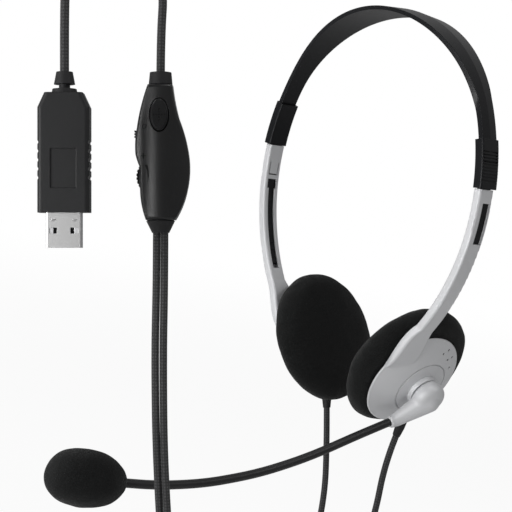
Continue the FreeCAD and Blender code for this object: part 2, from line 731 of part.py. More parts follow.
def boom():
    start = BOOM_ROUTE[0] - (BOOM_ROUTE[1] - BOOM_ROUTE[0]).normalize() * 1.9
    route = [start] + BOOM_ROUTE[1:]
    stem = tube(route, size("boom_radius"), report="boom")
    node(feature("BoomTube", stem), "boom_tube")
    tip = BOOM_ROUTE[-1]
    way = V(-0.10, -0.97, 0.14).normalize()
    turn = FreeCAD.Rotation(V(0, 0, 1), way)
    half_length, half_width = size("mic_length") / 2, size("mic_width") / 2
    seat = 11.7                      # from the boom's end to the middle of the foam
    centre = tip + way * seat
    mic = FreeCAD.Placement(centre, turn)

    holder = Part.makeCylinder(3.1, seat + 1.3, V(0, 0, -seat - 3.3))
    holder = holder.fuse(Part.makeCone(3.1, size("capsule_radius"), 2.0, V(0, 0, -2.0)))
    capsule = Part.makeCylinder(size("capsule_radius"), size("capsule_length"), V(0, 0, 0))
    port = Part.makeCylinder(1.0, 0.6, V(0, 0, size("capsule_length") - 0.6))
    front = [e for e in capsule.Edges if e.BoundBox.ZMin > size("capsule_length") - 0.01]
    capsule = capsule.makeFillet(0.5, front).cut(port)
    foam = doc.addObject("Part::Ellipsoid", "FoamBall")
    foam.setExpression("Radius1", "Sizes.mic_length / 2")
    foam.setExpression("Radius2", "Sizes.mic_width / 2")
    foam.setExpression("Radius3", "Sizes.mic_width / 2")
    hollow = Part.makeCylinder(size("capsule_radius") + 0.1, size("capsule_length") + 0.1)
    hollow = hollow.fuse([Part.makeCone(3.2, size("capsule_radius") + 0.1, 2.0, V(0, 0, -2.0)),
                          Part.makeCylinder(3.2, half_length, V(0, 0, -2.0 - half_length))])
    hole = feature("FoamPocket", hollow.removeSplitter())
    windscreen = cut("MicFoam", foam, hole)
    windscreen.Placement = mic
    for shape, name in ((holder, "mic_holder"), (capsule, "mic_capsule")):
        shape.Placement = mic
        if name == "mic_holder":
            shape = shape.removeSplitter().cut(stem)
            shape = sorted(shape.Solids, key=lambda s: s.Volume)[-1]
        node(feature(name.title().replace("_", ""), shape), name)
    node(windscreen, "mic_foam")


# -------------------------------------------------------- in-line control ----
# Each flank of the control is a chain of arcs, every second point being an arc's middle.
CONTROL_RIGHT = [(4.6, 24.4), (5.5, 18.4), (6.9, 12.4), (9.1, 5.8), (10.5, -1.0),
                 (10.8, -7.0), (9.9, -13.6), (8.2, -19.2), (5.6, -24.2)]
CONTROL_LEFT = [(-4.9, -24.2), (-6.4, -19.0), (-7.0, -13.6), (-7.2, -9.6), (-7.0, -5.6),
                (-7.9, -3.4), (-8.7, -0.8), (-8.8, 4.0), (-8.2, 8.8), (-6.6, 16.8), (-4.2, 24.4)]
WHEEL_AT = V(-1.5, -8.6, 0)
CROWN_BOW = 18.2


def control_outline(inset):
    """Closed outline: two flanks of arcs joined by short ends."""
    edges = []
    for side in (CONTROL_RIGHT, CONTROL_LEFT):
        at = [V(x, y, 0) for x, y in side]
        edges += [Part.Arc(at[i], at[i + 1], at[i + 2]).toShape() for i in range(0, len(at) - 1, 2)]
        other = CONTROL_LEFT if side is CONTROL_RIGHT else CONTROL_RIGHT
        edges.append(Part.makeLine(at[-1], V(*other[0], 0)))
    face = Part.Face(Part.Wire(edges))
    return face.makeOffset2D(-inset) if inset else face


def oval(wide, tall, low, high, centre):
    """Upright elliptical block between two heights."""
    rim = Part.Ellipse(centre + V(0, tall / 2, low), centre + V(wide / 2, 0, low), centre + V(0, 0, low))
    return Part.Face(Part.Wire(rim.toShape())).extrude(V(0, 0, high - low))


def carve(shape, tools):
    for tool in tools:
        shape = shape.cut(tool)
    return shape


def control_tray(half, wall):
    """One half of the control's casing: an open tray with rounded outer edges."""
    def bowed(inset):
        bow = Part.makeCylinder(CROWN_BOW - inset, 70, V(0.5, -35, half - CROWN_BOW), V(0, 1, 0))
        return control_outline(inset).extrude(V(0, 0, half)).common(bow)
    block = bowed(0)
    rims = [e for e in block.Edges if e.BoundBox.ZMin > half - 3.2]
    return block.makeFillet(1.2, rims).cut(bowed(wall))


def control_unit():
    half, wall = size("control_depth") / 2, size("control_wall")
    tray = control_tray(half, wall)
    button_at = V(0, 13.3, 0)
    play = size("button_play")
    top = half + size("button_rise")
    thumb = Part.makeCylinder(size("wheel_radius") + 0.5, size("wheel_thick") + 0.7,
                              WHEEL_AT + V(0, 0, -(size("wheel_thick") + 0.7) / 2))
    switch_slot = Part.makeBox(6, 5.4, 2.4, V(-12, 4.0, -1.2))
    sockets = [Part.makeCylinder(3.7, 6, V(0.2, y, 0), V(0, 1, 0)) for y in (20, -26)]
    key_hole = oval(size("button_wide") + 2 * play, size("button_tall") + 2 * play,
                       0, half + 2, button_at)
    cuts = [thumb, switch_slot] + sockets
    front = carve(tray, cuts + [key_hole])
    back = carve(tray.mirror(V(0, 0, 0), V(0, 0, 1)), cuts)
    # posts that the back's screws pull the front down on
    posts = [V(3.0, 20.6, 0), V(3.0, -17.0, 0)]
    stand = half - wall + 0.2
    for p in posts:
        front = front.fuse(Part.makeCylinder(1.7, stand, p))
        front = front.cut(Part.makeCylinder(0.75, stand - 1.0, p))
        back = back.fuse(Part.makeCylinder(1.7, stand, p - V(0, 0, stand)))
        back = back.cut(Part.makeCylinder(0.85, half + 2, p - V(0, 0, half + 1)))
        back = back.cut(Part.makeCylinder(1.5, 1.2, p - V(0, 0, half)))
    screws = [Part.makeCylinder(0.75, half - wall - 0.8 + half - 1.2, p - V(0, 0, half - 1.2)).fuse(
        Part.makeCylinder(1.4, 1.1, p - V(0, 0, half - 0.1))) for p in posts]
    node(feature("ControlFront", front.removeSplitter(), control), "control_front_shell")
    node(feature("ControlBack", back.removeSplitter(), control), "control_back_shell")
    node(feature("ControlScrews", Part.makeCompound([s.removeSplitter() for s in screws]),
                 control), "control_screws")

    board_top = -1.6
    thick = size("board_thick")
    board = control_outline(wall + 2.0).extrude(V(0, 0, thick))
    board.translate(V(0, 0, board_top - thick))
    board = board.cut([Part.makeCylinder(1.9, 10, p - V(0, 0, 5)) for p in posts]
                      + [Part.makeCylinder(4.0, 12, V(0.2, y, 0), V(0, 1, 0))
                         for y in (18, -30)])
    board = sorted(board.Solids, key=lambda s: s.Volume)[-1]
    node(feature("ControlBoard", board, control), "control_board")

    key = oval(size("button_wide"), size("button_tall"), 2.6, top, button_at)
    key = key.makeFillet(0.8, [e for e in key.Edges if abs(e.BoundBox.ZMin - top) < 1e-6])
    flange = oval(size("button_wide") + 1.6, size("button_tall") + 0.9, 2.6, 3.4, button_at)
    stem = Part.makeCylinder(1.4, 2.3, button_at + V(0, 0, 0.75))
    node(feature("TalkButton", key.fuse([flange, stem]).removeSplitter(), control), "talk_button")
    dome = Part.makeBox(4.2, 4.2, 1.2, button_at + V(-2.1, -2.1, board_top)).fuse(
        Part.makeCylinder(1.6, 0.5, button_at + V(0, 0, board_top + 1.2)))
    node(feature("ButtonSwitch", dome.removeSplitter(), control), "button_switch")

    base = Part.makeBox(2.6, 7.4, 2.2, V(-6.3, 3.0, board_top)).cut(
        Part.makeBox(2.0, 5.2, 1.6, V(-6.9, 4.1, board_top + 0.7)))
    node(feature("SlideBase", base, control), "slide_switch_base")
    nub = Part.makeBox(3.7, 2.6, 1.3, V(-8.9, 5.4, -0.75))
    nub = nub.fuse([Part.makeBox(0.4, 0.6, 1.3, V(-9.25, 5.5 + 1.0 * i, -0.75)) for i in range(3)])
    node(feature("SlideKnob", nub.removeSplitter(), control), "mute_slider")

    thickness = size("wheel_thick")
    wheel = Part.makeCylinder(size("wheel_radius"), thickness, WHEEL_AT - V(0, 0, thickness / 2))
    rims = [e for e in wheel.Edges if e.BoundBox.ZLength < 1e-6]
    wheel = wheel.makeFillet(0.3, rims)
    knurl = []
    for i in range(30):
        a = 2 * math.pi * i / 30
        knurl.append(Part.makeCylinder(0.32, 4, WHEEL_AT + V(size("wheel_radius") * math.cos(a),
                                                              size("wheel_radius") * math.sin(a), -2)))
    wheel = wheel.cut(knurl + [Part.makeCylinder(1.25, 4, WHEEL_AT - V(0, 0, 2))])
    node(feature("VolumeWheel", wheel, control), "volume_wheel")
    low = board_top
    pot = Part.makeCylinder(3.6, -thickness / 2 - 0.12 - low, WHEEL_AT + V(0, 0, low)).fuse(
        Part.makeCylinder(1.2, 0.9 + thickness / 2, WHEEL_AT + V(0, 0, -thickness / 2 - 0.12)))
    node(feature("VolumePot", pot.removeSplitter(), control), "volume_pot")

    length = size("collar_length")
    for name, y, way, cord_r, offsets, foot, tip in (
            ("control_collar_top", 24.4, 1, size("main_cord") / 2, (0.2,), 4.3, 3.9),
            ("control_collar_bottom", -24.2, -1, size("ear_cord") / 2, TWIN_OFFSETS, 5.2, 3.1)):
        out = V(0, way, 0)
        collar = Part.makeCylinder(3.65, 2.2, V(0.2, y - way * 2.0, 0), out)
        collar = collar.fuse([
            Part.makeCylinder(3.0, 0.5, V(0.2, y + way * 0.1, 0), out),
            Part.makeCone(foot, tip, length - 0.3, V(0.2, y + way * 0.3, 0), out)])
        end = y + way * length
        collar = collar.cut([Part.makeCylinder(cord_r, 2.0, V(x, end - way * 2.0, 0), out)
                             for x in offsets])
        node(feature(name.title().replace("_", ""), collar.removeSplitter(), control), name)


TWIN_OFFSETS = (-1.4 + 0.2, 1.4 + 0.2)


# --------------------------------------------------------------- USB plug ----
def usb_plug():
    wide, tall, thick = size("plug_wide"), size("plug_tall"), size("plug_thick")
    shoulder = size("plug_shoulder")
    x, y = wide / 2, tall / 2
    chamfer = size("plug_chamfer")
    outline = [V(-x, -y, 0), V(x, -y, 0), V(x, y - shoulder, 0), V(x - chamfer, y, 0),
               V(-x + chamfer, y, 0), V(-x, y - shoulder, 0)]
    face = Part.Face(Part.makePolygon(outline + outline[:1]))
    body = face.extrude(V(0, 0, thick))
    body.translate(V(0, 0, -thick / 2))
    body = body.makeFillet(1.5, [e for e in body.Edges if e.Length > 20 or abs(e.BoundBox.XLength - chamfer) < 1e-3])
    recess = Part.makeBox(8.7, 13.3, 1, V(-4.3, -12.0, thick / 2 - 0.5))
    grips = [Part.makeCylinder(0.65, thick + 2, V(side * (x + 0.2), 3.4 - 3.0 * i, -thick / 2 - 1))
             for side in (-1, 1) for i in range(5)]
    relief_seat = Part.makeCylinder(2.1, 6, V(0, y - 5, 0), V(0, 1, 0))
    shell_w, shell_t, wall = size("shell_wide"), size("shell_thick"), size("shell_wall")
    seat = Part.makeBox(shell_w, 7, shell_t, V(-shell_w / 2, -y - 1, -shell_t / 2))
    body = body.cut([recess, relief_seat, seat] + grips)
    node(feature("UsbHousing", body.removeSplitter(), plug), "usb_housing")

    long_ = size("shell_long")
    outer = Part.makeBox(shell_w, long_ + 6, shell_t, V(-shell_w / 2, -y - long_, -shell_t / 2))
    outer = outer.makeFillet(0.5, [e for e in outer.Edges if e.Length > 15])
    hollow = Part.makeBox(shell_w - 2 * wall, long_ + 8, shell_t - 2 * wall,
                          V(-shell_w / 2 + wall, -y - long_ - 1, -shell_t / 2 + wall))
    windows = [Part.makeBox(2.6, 2.0, 10, V(side * 3.6 - 1.3, -y - 7.1, -5)) for side in (-1, 1)]
    metal = outer.cut([hollow] + windows)
    node(feature("UsbShell", metal.removeSplitter(), plug), "usb_shell")

    tongue = Part.makeBox(shell_w - 2 * wall, 5.0, shell_t - 2 * wall,
                          V(-shell_w / 2 + wall, -y + 0.5, -shell_t / 2 + wall))
    tongue = tongue.fuse(Part.makeBox(shell_w - 2 * wall, long_ - 0.4, 1.84,
                                      V(-shell_w / 2 + wall, -y - long_ + 1.0, -shell_t / 2 + wall)))
    strips = []
    for i, length in enumerate((7.4, 6.4, 6.4, 7.4)):
        at = V(-4.0 + 2.333 * i, -y - long_ + 1.6, -shell_t / 2 + wall + 1.84 - 0.25)
        strips.append(Part.makeBox(1.0, length, 0.4, at))
    tongue = tongue.removeSplitter().cut(strips)
    node(feature("UsbTongue", tongue, plug), "usb_tongue")
    node(feature("UsbContacts", Part.makeCompound(strips), plug), "usb_contacts")

    cord_r = size("main_cord") / 2
    relief = Part.makeCylinder(2.1, 4.5, V(0, y - 4.5, 0), V(0, 1, 0))
    relief = relief.fuse([Part.makeCone(4.4, 4.1, 1.4, V(0, y, 0), V(0, 1, 0)),
                          Part.makeCylinder(1.9, 2.0, V(0, y + 1.2, 0), V(0, 1, 0)),
                          Part.makeCone(3.6, 2.8, size("relief_long") - 3.0, V(0, y + 3.0, 0), V(0, 1, 0))])
    relief = relief.cut(Part.makeCylinder(cord_r, 3, V(0, y + size("relief_long") - 3, 0), V(0, 1, 0)))
    node(feature("UsbRelief", relief.removeSplitter(), plug), "usb_strain_relief")


# ------------------------------------------------------------------ cords ----
COIL_CENTRE = V(-2.6, -165.6, 166.0)
COIL_FACE = V(0.9705, 0.0800, 0.2273)        # normal of the coil's plane
COIL_SIDE = V(-0.0822, 0.9966, 0.0)


def cords():
    top = control.Placement.multVec(V(0.2, 24.4 + size("collar_length") - 2.0, 0))
    relief_end = plug.Placement.multVec(V(0, size("plug_tall") / 2 + size("relief_long") - 3.0, 0))
    face = COIL_FACE.normalize()
    side = (COIL_SIDE - face * COIL_SIDE.dot(face)).normalize()
    up = face.cross(side)
    if up.z < 0:
        up = -up
    radius = size("coil_radius")
    right_side, left_side = COIL_CENTRE + side * radius, COIL_CENTRE - side * radius
    main = size("main_cord") / 2
    lead = [top, top + V(-3.0, -0.7, 14.6), top + V(-7.2, 0.3, 33.0), right_side - up * 11.0]
    node(feature("ControlLead", tube(lead, main, report="control lead")), "cord_control_lead")
    lead = [relief_end, relief_end + V(-3.2, -0.9, 15.6), relief_end + V(-7.6, -1.2, 35.0),
            left_side - up * 11.0]
    node(feature("PlugLead", tube(lead, main, report="plug lead")), "cord_plug_lead")
    coil = Part.makeTorus(radius, size("coil_section"), COIL_CENTRE, face)
    node(feature("CordCoil", coil), "cord_coil")
    ring = Part.makeTorus(radius, size("coil_section") + 0.9, V(0, 0, 0), V(0, 0, 1), 0, 360, 18)
    ring = ring.cut(Part.makeTorus(radius, size("coil_section"), V(0, 0, 0), V(0, 0, 1)))
    ring.Placement = FreeCAD.Placement(COIL_CENTRE, FreeCAD.Rotation(up, side, face, "ZXY"))
    ring.rotate(COIL_CENTRE, face, -9)
    node(feature("CordTie", ring), "cord_tie")

    exit_point = gland_top() + GLAND_WAY * (size("gland_length") + 4.0 - 3.0)
    down = exit_point + GLAND_WAY * 16
    ends = [control.Placement.multVec(V(x, -24.2 - size("collar_length") + 2.0, 0))
            for x in TWIN_OFFSETS]
    mirrored, down_too = V(-exit_point.x, exit_point.y, exit_point.z), V(-down.x, down.y, down.z)
    left = [exit_point, down, V(21.5, 3.0, -68.0),
            V(28.5, -14.0, -101.0), V(32.0, -38.0, -121.0), V(35.8, -68.0, -127.0),
            V(39.6, -99.0, -114.0), V(41.6, -122.0, -86.0),
            ends[1] + V(17.4, 4.9, -88.0), ends[1] + V(9.2, 2.0, -47.0), ends[1] + V(4.0, 1.05, -20.0),
            ends[1]]
    right = [mirrored, down_too, V(-8.0, 2.0, -70.0),
             V(4.0, -15.0, -101.0), V(15.0, -38.0, -123.0), V(25.0, -67.0, -130.0),
             V(33.5, -98.0, -118.0), V(38.0, -122.5, -89.0),
             ends[0] + V(16.9, 4.9, -86.0), ends[0] + V(8.8, 1.9, -46.0), ends[0] + V(3.9, 1.0, -19.5),
             ends[0]]
    thin = size("ear_cord") / 2
    node(feature("LeftCord", tube(left, thin, report="left cord")), "cord_left")
    node(feature("RightCord", tube(right, thin, report="right cord")), "cord_right")


# ------------------------------------------------------------------ build ----
headband()
left_slider = feature("LeftSlider", slider())
node(left_slider, "left_slider")
mirror(left_slider, "right_slider")
ear_cup()
pivot()
boom()
control_unit()
usb_plug()
cords()
doc.recompute()

for obj in doc.Objects:
    if "Invalid" in obj.State or "Error" in obj.State:
        raise SystemExit("%s failed: %s" % (obj.Label, obj.State))
for obj in NODES:
    shape = obj.Shape
    if shape.isNull() or not shape.isValid():
        raise SystemExit("%s has no valid shape" % obj.Label)
    shape.exportStep(os.path.join("parts", obj.Label + ".step"))
    print("%-24s solids %d volume %9.1f" % (obj.Label, len(shape.Solids), shape.Volume))
print(len(NODES), "nodes")
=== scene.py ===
# %% [markdown]
# # An office headset
# The metal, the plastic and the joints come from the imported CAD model, which stays as it is.
# Blender adds what a drawing of solids can't carry: foam, braided cord, moulded grain, marks
# and light. Everything is in metres, with +X to the wearer's left, -Y the way they face and
# +Z up.

# %% Load the frame
import json
import math

import bmesh
import bpy
from mathutils import Matrix, Vector, noise
from mathutils.bvhtree import BVHTree
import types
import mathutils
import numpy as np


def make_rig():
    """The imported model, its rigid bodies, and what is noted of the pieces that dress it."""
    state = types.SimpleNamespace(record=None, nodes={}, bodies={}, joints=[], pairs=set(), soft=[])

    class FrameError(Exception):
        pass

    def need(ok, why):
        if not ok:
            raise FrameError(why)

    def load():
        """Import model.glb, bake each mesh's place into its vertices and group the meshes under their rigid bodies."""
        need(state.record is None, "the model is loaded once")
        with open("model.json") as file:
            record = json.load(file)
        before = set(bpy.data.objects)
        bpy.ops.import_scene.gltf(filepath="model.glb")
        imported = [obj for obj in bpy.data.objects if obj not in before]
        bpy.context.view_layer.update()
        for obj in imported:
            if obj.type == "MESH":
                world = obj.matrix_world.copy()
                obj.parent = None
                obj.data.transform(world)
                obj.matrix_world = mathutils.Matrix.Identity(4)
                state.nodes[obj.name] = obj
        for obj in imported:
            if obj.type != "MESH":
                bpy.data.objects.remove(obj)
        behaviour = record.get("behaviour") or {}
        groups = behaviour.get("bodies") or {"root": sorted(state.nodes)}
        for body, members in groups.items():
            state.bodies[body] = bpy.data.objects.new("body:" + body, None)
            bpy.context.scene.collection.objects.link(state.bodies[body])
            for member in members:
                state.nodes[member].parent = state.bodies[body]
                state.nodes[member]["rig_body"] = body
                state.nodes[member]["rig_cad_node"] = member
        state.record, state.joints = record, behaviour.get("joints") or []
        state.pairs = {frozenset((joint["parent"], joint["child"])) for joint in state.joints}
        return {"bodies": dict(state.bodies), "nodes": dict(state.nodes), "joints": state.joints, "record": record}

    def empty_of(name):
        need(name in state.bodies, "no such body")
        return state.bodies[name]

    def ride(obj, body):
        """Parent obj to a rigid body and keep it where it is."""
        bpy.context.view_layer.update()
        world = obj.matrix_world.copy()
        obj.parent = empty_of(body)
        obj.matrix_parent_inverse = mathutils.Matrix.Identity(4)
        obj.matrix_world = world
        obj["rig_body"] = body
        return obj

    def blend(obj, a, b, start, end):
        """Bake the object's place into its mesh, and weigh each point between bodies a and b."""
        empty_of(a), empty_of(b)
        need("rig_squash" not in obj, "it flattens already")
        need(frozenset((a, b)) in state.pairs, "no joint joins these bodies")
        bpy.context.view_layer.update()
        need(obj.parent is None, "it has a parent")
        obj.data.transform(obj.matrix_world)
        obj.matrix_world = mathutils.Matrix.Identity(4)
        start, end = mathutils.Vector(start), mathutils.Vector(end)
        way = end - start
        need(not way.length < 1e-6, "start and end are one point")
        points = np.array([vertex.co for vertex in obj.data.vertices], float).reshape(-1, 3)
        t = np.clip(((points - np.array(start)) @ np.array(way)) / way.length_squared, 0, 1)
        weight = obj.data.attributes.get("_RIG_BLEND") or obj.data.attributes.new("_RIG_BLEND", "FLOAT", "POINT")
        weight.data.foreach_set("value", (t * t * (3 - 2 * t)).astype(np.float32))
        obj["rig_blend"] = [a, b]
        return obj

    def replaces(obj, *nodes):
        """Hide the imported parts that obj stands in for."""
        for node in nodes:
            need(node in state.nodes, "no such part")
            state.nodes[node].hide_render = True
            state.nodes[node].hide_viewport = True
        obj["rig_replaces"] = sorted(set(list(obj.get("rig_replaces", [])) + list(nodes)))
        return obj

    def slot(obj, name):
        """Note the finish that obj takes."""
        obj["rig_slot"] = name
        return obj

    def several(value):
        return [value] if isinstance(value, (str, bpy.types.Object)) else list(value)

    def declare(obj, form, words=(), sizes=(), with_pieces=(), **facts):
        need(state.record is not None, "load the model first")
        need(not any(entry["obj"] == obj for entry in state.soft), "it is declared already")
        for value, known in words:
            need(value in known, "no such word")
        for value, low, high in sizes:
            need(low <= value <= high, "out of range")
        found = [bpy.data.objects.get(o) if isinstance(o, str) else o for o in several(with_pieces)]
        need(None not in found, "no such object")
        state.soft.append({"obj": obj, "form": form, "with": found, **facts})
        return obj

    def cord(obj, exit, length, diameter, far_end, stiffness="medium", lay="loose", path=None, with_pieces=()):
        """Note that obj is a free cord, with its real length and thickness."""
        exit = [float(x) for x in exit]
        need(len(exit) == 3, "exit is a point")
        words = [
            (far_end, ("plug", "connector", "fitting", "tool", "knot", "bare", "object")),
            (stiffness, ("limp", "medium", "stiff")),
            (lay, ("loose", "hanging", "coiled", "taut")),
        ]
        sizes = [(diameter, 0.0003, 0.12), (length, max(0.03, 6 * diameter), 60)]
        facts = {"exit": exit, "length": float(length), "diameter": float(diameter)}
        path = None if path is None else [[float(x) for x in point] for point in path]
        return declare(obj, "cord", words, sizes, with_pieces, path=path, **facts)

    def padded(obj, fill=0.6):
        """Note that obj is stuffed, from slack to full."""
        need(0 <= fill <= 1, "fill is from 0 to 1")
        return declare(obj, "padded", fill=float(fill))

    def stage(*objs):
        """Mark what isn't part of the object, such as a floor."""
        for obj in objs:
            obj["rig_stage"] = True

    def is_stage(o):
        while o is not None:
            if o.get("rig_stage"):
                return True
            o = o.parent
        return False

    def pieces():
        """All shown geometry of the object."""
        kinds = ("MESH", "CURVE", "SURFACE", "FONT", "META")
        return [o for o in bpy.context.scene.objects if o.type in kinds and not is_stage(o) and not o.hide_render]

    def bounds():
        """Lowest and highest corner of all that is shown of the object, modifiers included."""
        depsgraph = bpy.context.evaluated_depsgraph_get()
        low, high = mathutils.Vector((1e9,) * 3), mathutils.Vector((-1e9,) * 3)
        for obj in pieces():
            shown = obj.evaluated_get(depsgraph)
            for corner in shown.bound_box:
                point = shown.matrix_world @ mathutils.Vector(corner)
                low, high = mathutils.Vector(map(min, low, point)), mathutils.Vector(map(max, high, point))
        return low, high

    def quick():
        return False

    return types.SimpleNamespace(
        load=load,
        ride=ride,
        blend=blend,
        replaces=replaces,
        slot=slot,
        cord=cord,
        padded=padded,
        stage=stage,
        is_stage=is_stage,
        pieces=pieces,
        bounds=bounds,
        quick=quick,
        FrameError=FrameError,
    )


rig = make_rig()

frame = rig.load()
nodes = frame["nodes"]
cad_box = [list(corner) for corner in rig.bounds()]
print("CAD nodes:", len(nodes), "box:", [[round(x, 3) for x in c] for c in cad_box])

# %% [markdown]
# ## The camera
# Products are mostly shown through a long lens, so that near and far parts keep their size.
# The camera stands in front of the wearer's left cheek, a little above, and leans by ten
# degrees, which is the same as tilting the headset. Working the camera out from three angles
# and a distance says more than a matrix would.

# %% Camera
AZIMUTH, ELEVATION, LEAN = math.radians(46.89), math.radians(6.44), math.radians(10.0)
DISTANCE = 0.5789
TARGET = Vector((0.00028, -0.0738, 0.04093))


def camera_axes(azimuth, elevation, lean):
    """Right, up and back of a camera that looks at its target from those angles."""
    back = Vector((math.cos(elevation) * math.sin(azimuth),
                   -math.cos(elevation) * math.cos(azimuth), math.sin(elevation)))
    level = Vector((math.cos(azimuth), math.sin(azimuth), 0))
    right = level * math.cos(lean) + back.cross(level) * math.sin(lean)
    return right, back.cross(right), back


def placed(name, data):
    """A new object in the scene."""
    made = bpy.data.objects.new(name, data)
    bpy.context.scene.collection.objects.link(made)
    return made


RIGHT, UP, BACK = camera_axes(AZIMUTH, ELEVATION, LEAN)
camera = placed("camera", bpy.data.cameras.new("camera"))
camera.data.lens, camera.data.sensor_width = 101.4, 36
camera.matrix_world = Matrix.LocRotScale(
    TARGET + BACK * DISTANCE, Matrix((RIGHT, UP, BACK)).transposed(), None)
bpy.context.scene.camera = camera
bpy.context.scene.view_settings.view_transform = "Standard"
print("camera at", [round(x, 3) for x in camera.matrix_world.translation])

# %% [markdown]
# ## Writing shader maths as Python
# A pattern such as a braid is arithmetic on coordinates. Built by hand in the node editor it is
# a maze of Math nodes, so a small class wraps a node's socket and turns +, - and * into those
# nodes. Every other node comes from one method, `node`, that first applies the node's settings
# and then fills its inputs.

# %% Sockets and finishes
class Wire:
    """An output socket that takes part in Python expressions."""

    def __init__(self, finish, socket):
        self.finish, self.socket = finish, socket

    def maths(self, operation, *values):
        return self.finish.node("ShaderNodeMath", {"operation": operation},
                                dict(enumerate(values)))

    def __add__(self, other):
        return self.maths("ADD", self, other)

    def __sub__(self, other):
        return self.maths("SUBTRACT", self, other)

    def __rsub__(self, other):
        return self.maths("SUBTRACT", other, self)

    def __mul__(self, other):
        return self.maths("MULTIPLY", self, other)

    __radd__, __rmul__ = __add__, __mul__

    def sin(self):
        return self.maths("SINE", self)

    def abs(self):
        return self.maths("ABSOLUTE", self)

    def most(self, other):
        return self.maths("MAXIMUM", self, other)

    def soft(self, low, high):
        """0 below low, 1 above high, and smooth between."""
        return self.finish.node("ShaderNodeMapRange", {"interpolation_type": "SMOOTHSTEP"},
                                {"Value": self, "From Min": low, "From Max": high})


class Finish:
    """One procedural material: its tree, its shader and the method that adds nodes."""

    def __init__(self, name, color, roughness, metallic=0.0, **plain):
        self.name = name
        self.material = bpy.data.materials.new(name)
        self.material.use_nodes = True
        self.tree = self.material.node_tree
        self.shader = self.tree.nodes["Principled BSDF"]
        self.shader.inputs["Base Color"].default_value = (*color, 1)
        self.shader.inputs["Roughness"].default_value = roughness
        self.shader.inputs["Metallic"].default_value = metallic
        for socket, value in plain.items():
            self.shader.inputs[socket.replace("_", " ")].default_value = value
        self.material.diffuse_color = (*color, 1)

    def node(self, kind, settings=None, values=None, out=0):
        made = self.tree.nodes.new(kind)
        for setting, value in (settings or {}).items():
            if setting == "stops":
                ramp = made.color_ramp
                while len(ramp.elements) < len(value):
                    ramp.elements.new(0.5)
                for element, (place, color) in zip(ramp.elements, value):
                    element.position, element.color = place, (*color, 1)
            else:
                setattr(made, setting, value)
        for socket, value in (values or {}).items():
            if isinstance(value, Wire):
                self.tree.links.new(value.socket, made.inputs[socket])
            else:
                made.inputs[socket].default_value = value
        return Wire(self, made.outputs[out])

    def feed(self, socket, wire):
        self.tree.links.new(wire.socket, self.shader.inputs[socket])
        return self

    def place(self):
        """Position on the object, in metres."""
        return self.node("ShaderNodeTexCoord", out="Object")

    def noise(self, scale, detail=2.0, roughness=0.5, where=None):
        return self.node("ShaderNodeTexNoise", None, {
            "Vector": where or self.place(), "Scale": scale, "Detail": detail,
            "Roughness": roughness})

    def blend(self, factor, low, high):
        """A colour between two colours."""
        ends = [value if isinstance(value, Wire) else (*value, 1) for value in (low, high)]
        return self.node("ShaderNodeMix", {"data_type": "RGBA"},
                         {"Factor": factor, 6: ends[0], 7: ends[1]}, out=2)

    def relief(self, height, depth, strength=1.0, edge=None):
        """Bumps of that depth in metres, over edges that are eased by that radius."""
        values = {"Height": height, "Distance": depth, "Strength": strength}
        if edge:
            values["Normal"] = self.node("ShaderNodeBevel", {"samples": 6}, {"Radius": edge})
        return self.feed("Normal", self.node("ShaderNodeBump", None, values))


print("shader helpers ready")

# %% [markdown]
# ## Moulded plastic and paint
# Injection moulded plastic is never quite smooth: the mould leaves a fine grain, fingers leave
# it a little glossier in places, and every edge is rounded by a few tenths of a millimetre.
# The Bevel node rounds the edges in shading only, so the CAD mesh needn't be touched. Black
# plastic gets a low specular level, because in a white studio a full one turns it grey.

# %% Plastic finishes
def moulded(name, color, roughness, grain=9000, depth=0.00002, edge=0.00025, spread=0.08, **plain):
    finish = Finish(name, color, roughness, **plain)
    fine, broad = finish.noise(grain, 2.0), finish.noise(60, 3.0)
    finish.feed("Roughness", broad * spread + (roughness - spread / 2))
    lighter = tuple(min(1.0, c * 1.2 + 0.002) for c in color)
    darker = tuple(c * 0.85 for c in color)
    finish.feed("Base Color", finish.blend(broad, darker, lighter))
    return finish.relief(fine, depth, 0.6, edge)


black_band = moulded("black_band", (0.0050, 0.0054, 0.0068), 0.33, edge=0.0003,
                     Specular_IOR_Level=0.20)
black_plastic = moulded("black_plastic", (0.010, 0.010, 0.011), 0.5, Specular_IOR_Level=0.3)
boom_black = moulded("boom_sleeve", (0.008, 0.008, 0.009), 0.38, grain=5000,
                     Specular_IOR_Level=0.4)
rubber = moulded("soft_rubber", (0.010, 0.010, 0.011), 0.58, depth=0.00003,
                 Specular_IOR_Level=0.3)
control_black = moulded("control_black", (0.0045, 0.0047, 0.0052), 0.30, edge=0.0004,
                        Specular_IOR_Level=0.38)
button_black = moulded("button_black", (0.0050, 0.0052, 0.0058), 0.4, edge=0.0002,
                       Specular_IOR_Level=0.22)
plug_grey = moulded("plug_grey", (0.0088, 0.0090, 0.0098), 0.45, edge=0.0004,
                    Specular_IOR_Level=0.30)
white_plastic = moulded("white_insulator", (0.78, 0.78, 0.76), 0.4, edge=0.0001)
film = moulded("speaker_film", (0.4, 0.4, 0.38), 0.2, edge=0.0001)
board = moulded("board_green", (0.02, 0.11, 0.05), 0.35, edge=0.0001)
tie_black = moulded("cord_tie", (0.008, 0.008, 0.009), 0.7, grain=4000, depth=0.00005,
                    Specular_IOR_Level=0.25)
# painted shade: a darker, matte black for the engraved signs and key dots, and for the plates in the gaps of the
# plug's windows
painted_shade_black = moulded("painted_shade_black", (0.0025, 0.0025, 0.003), 0.75, grain=6000, edge=0.00005,
                   Specular_IOR_Level=0.15)
print("plastics:", black_band.name, control_black.name, plug_grey.name)

# %% [markdown]
# ## Silver paint
# The arms and the cup covers are plastic, sprayed silver and lacquered. Such paint holds metal
# flakes: it is partly metallic, it sparkles faintly, and a clear coat lies over it. Flakes too
# small to be seen one by one only roughen the light, so a fine noise tilts the surface a little
# and another one changes its shade.

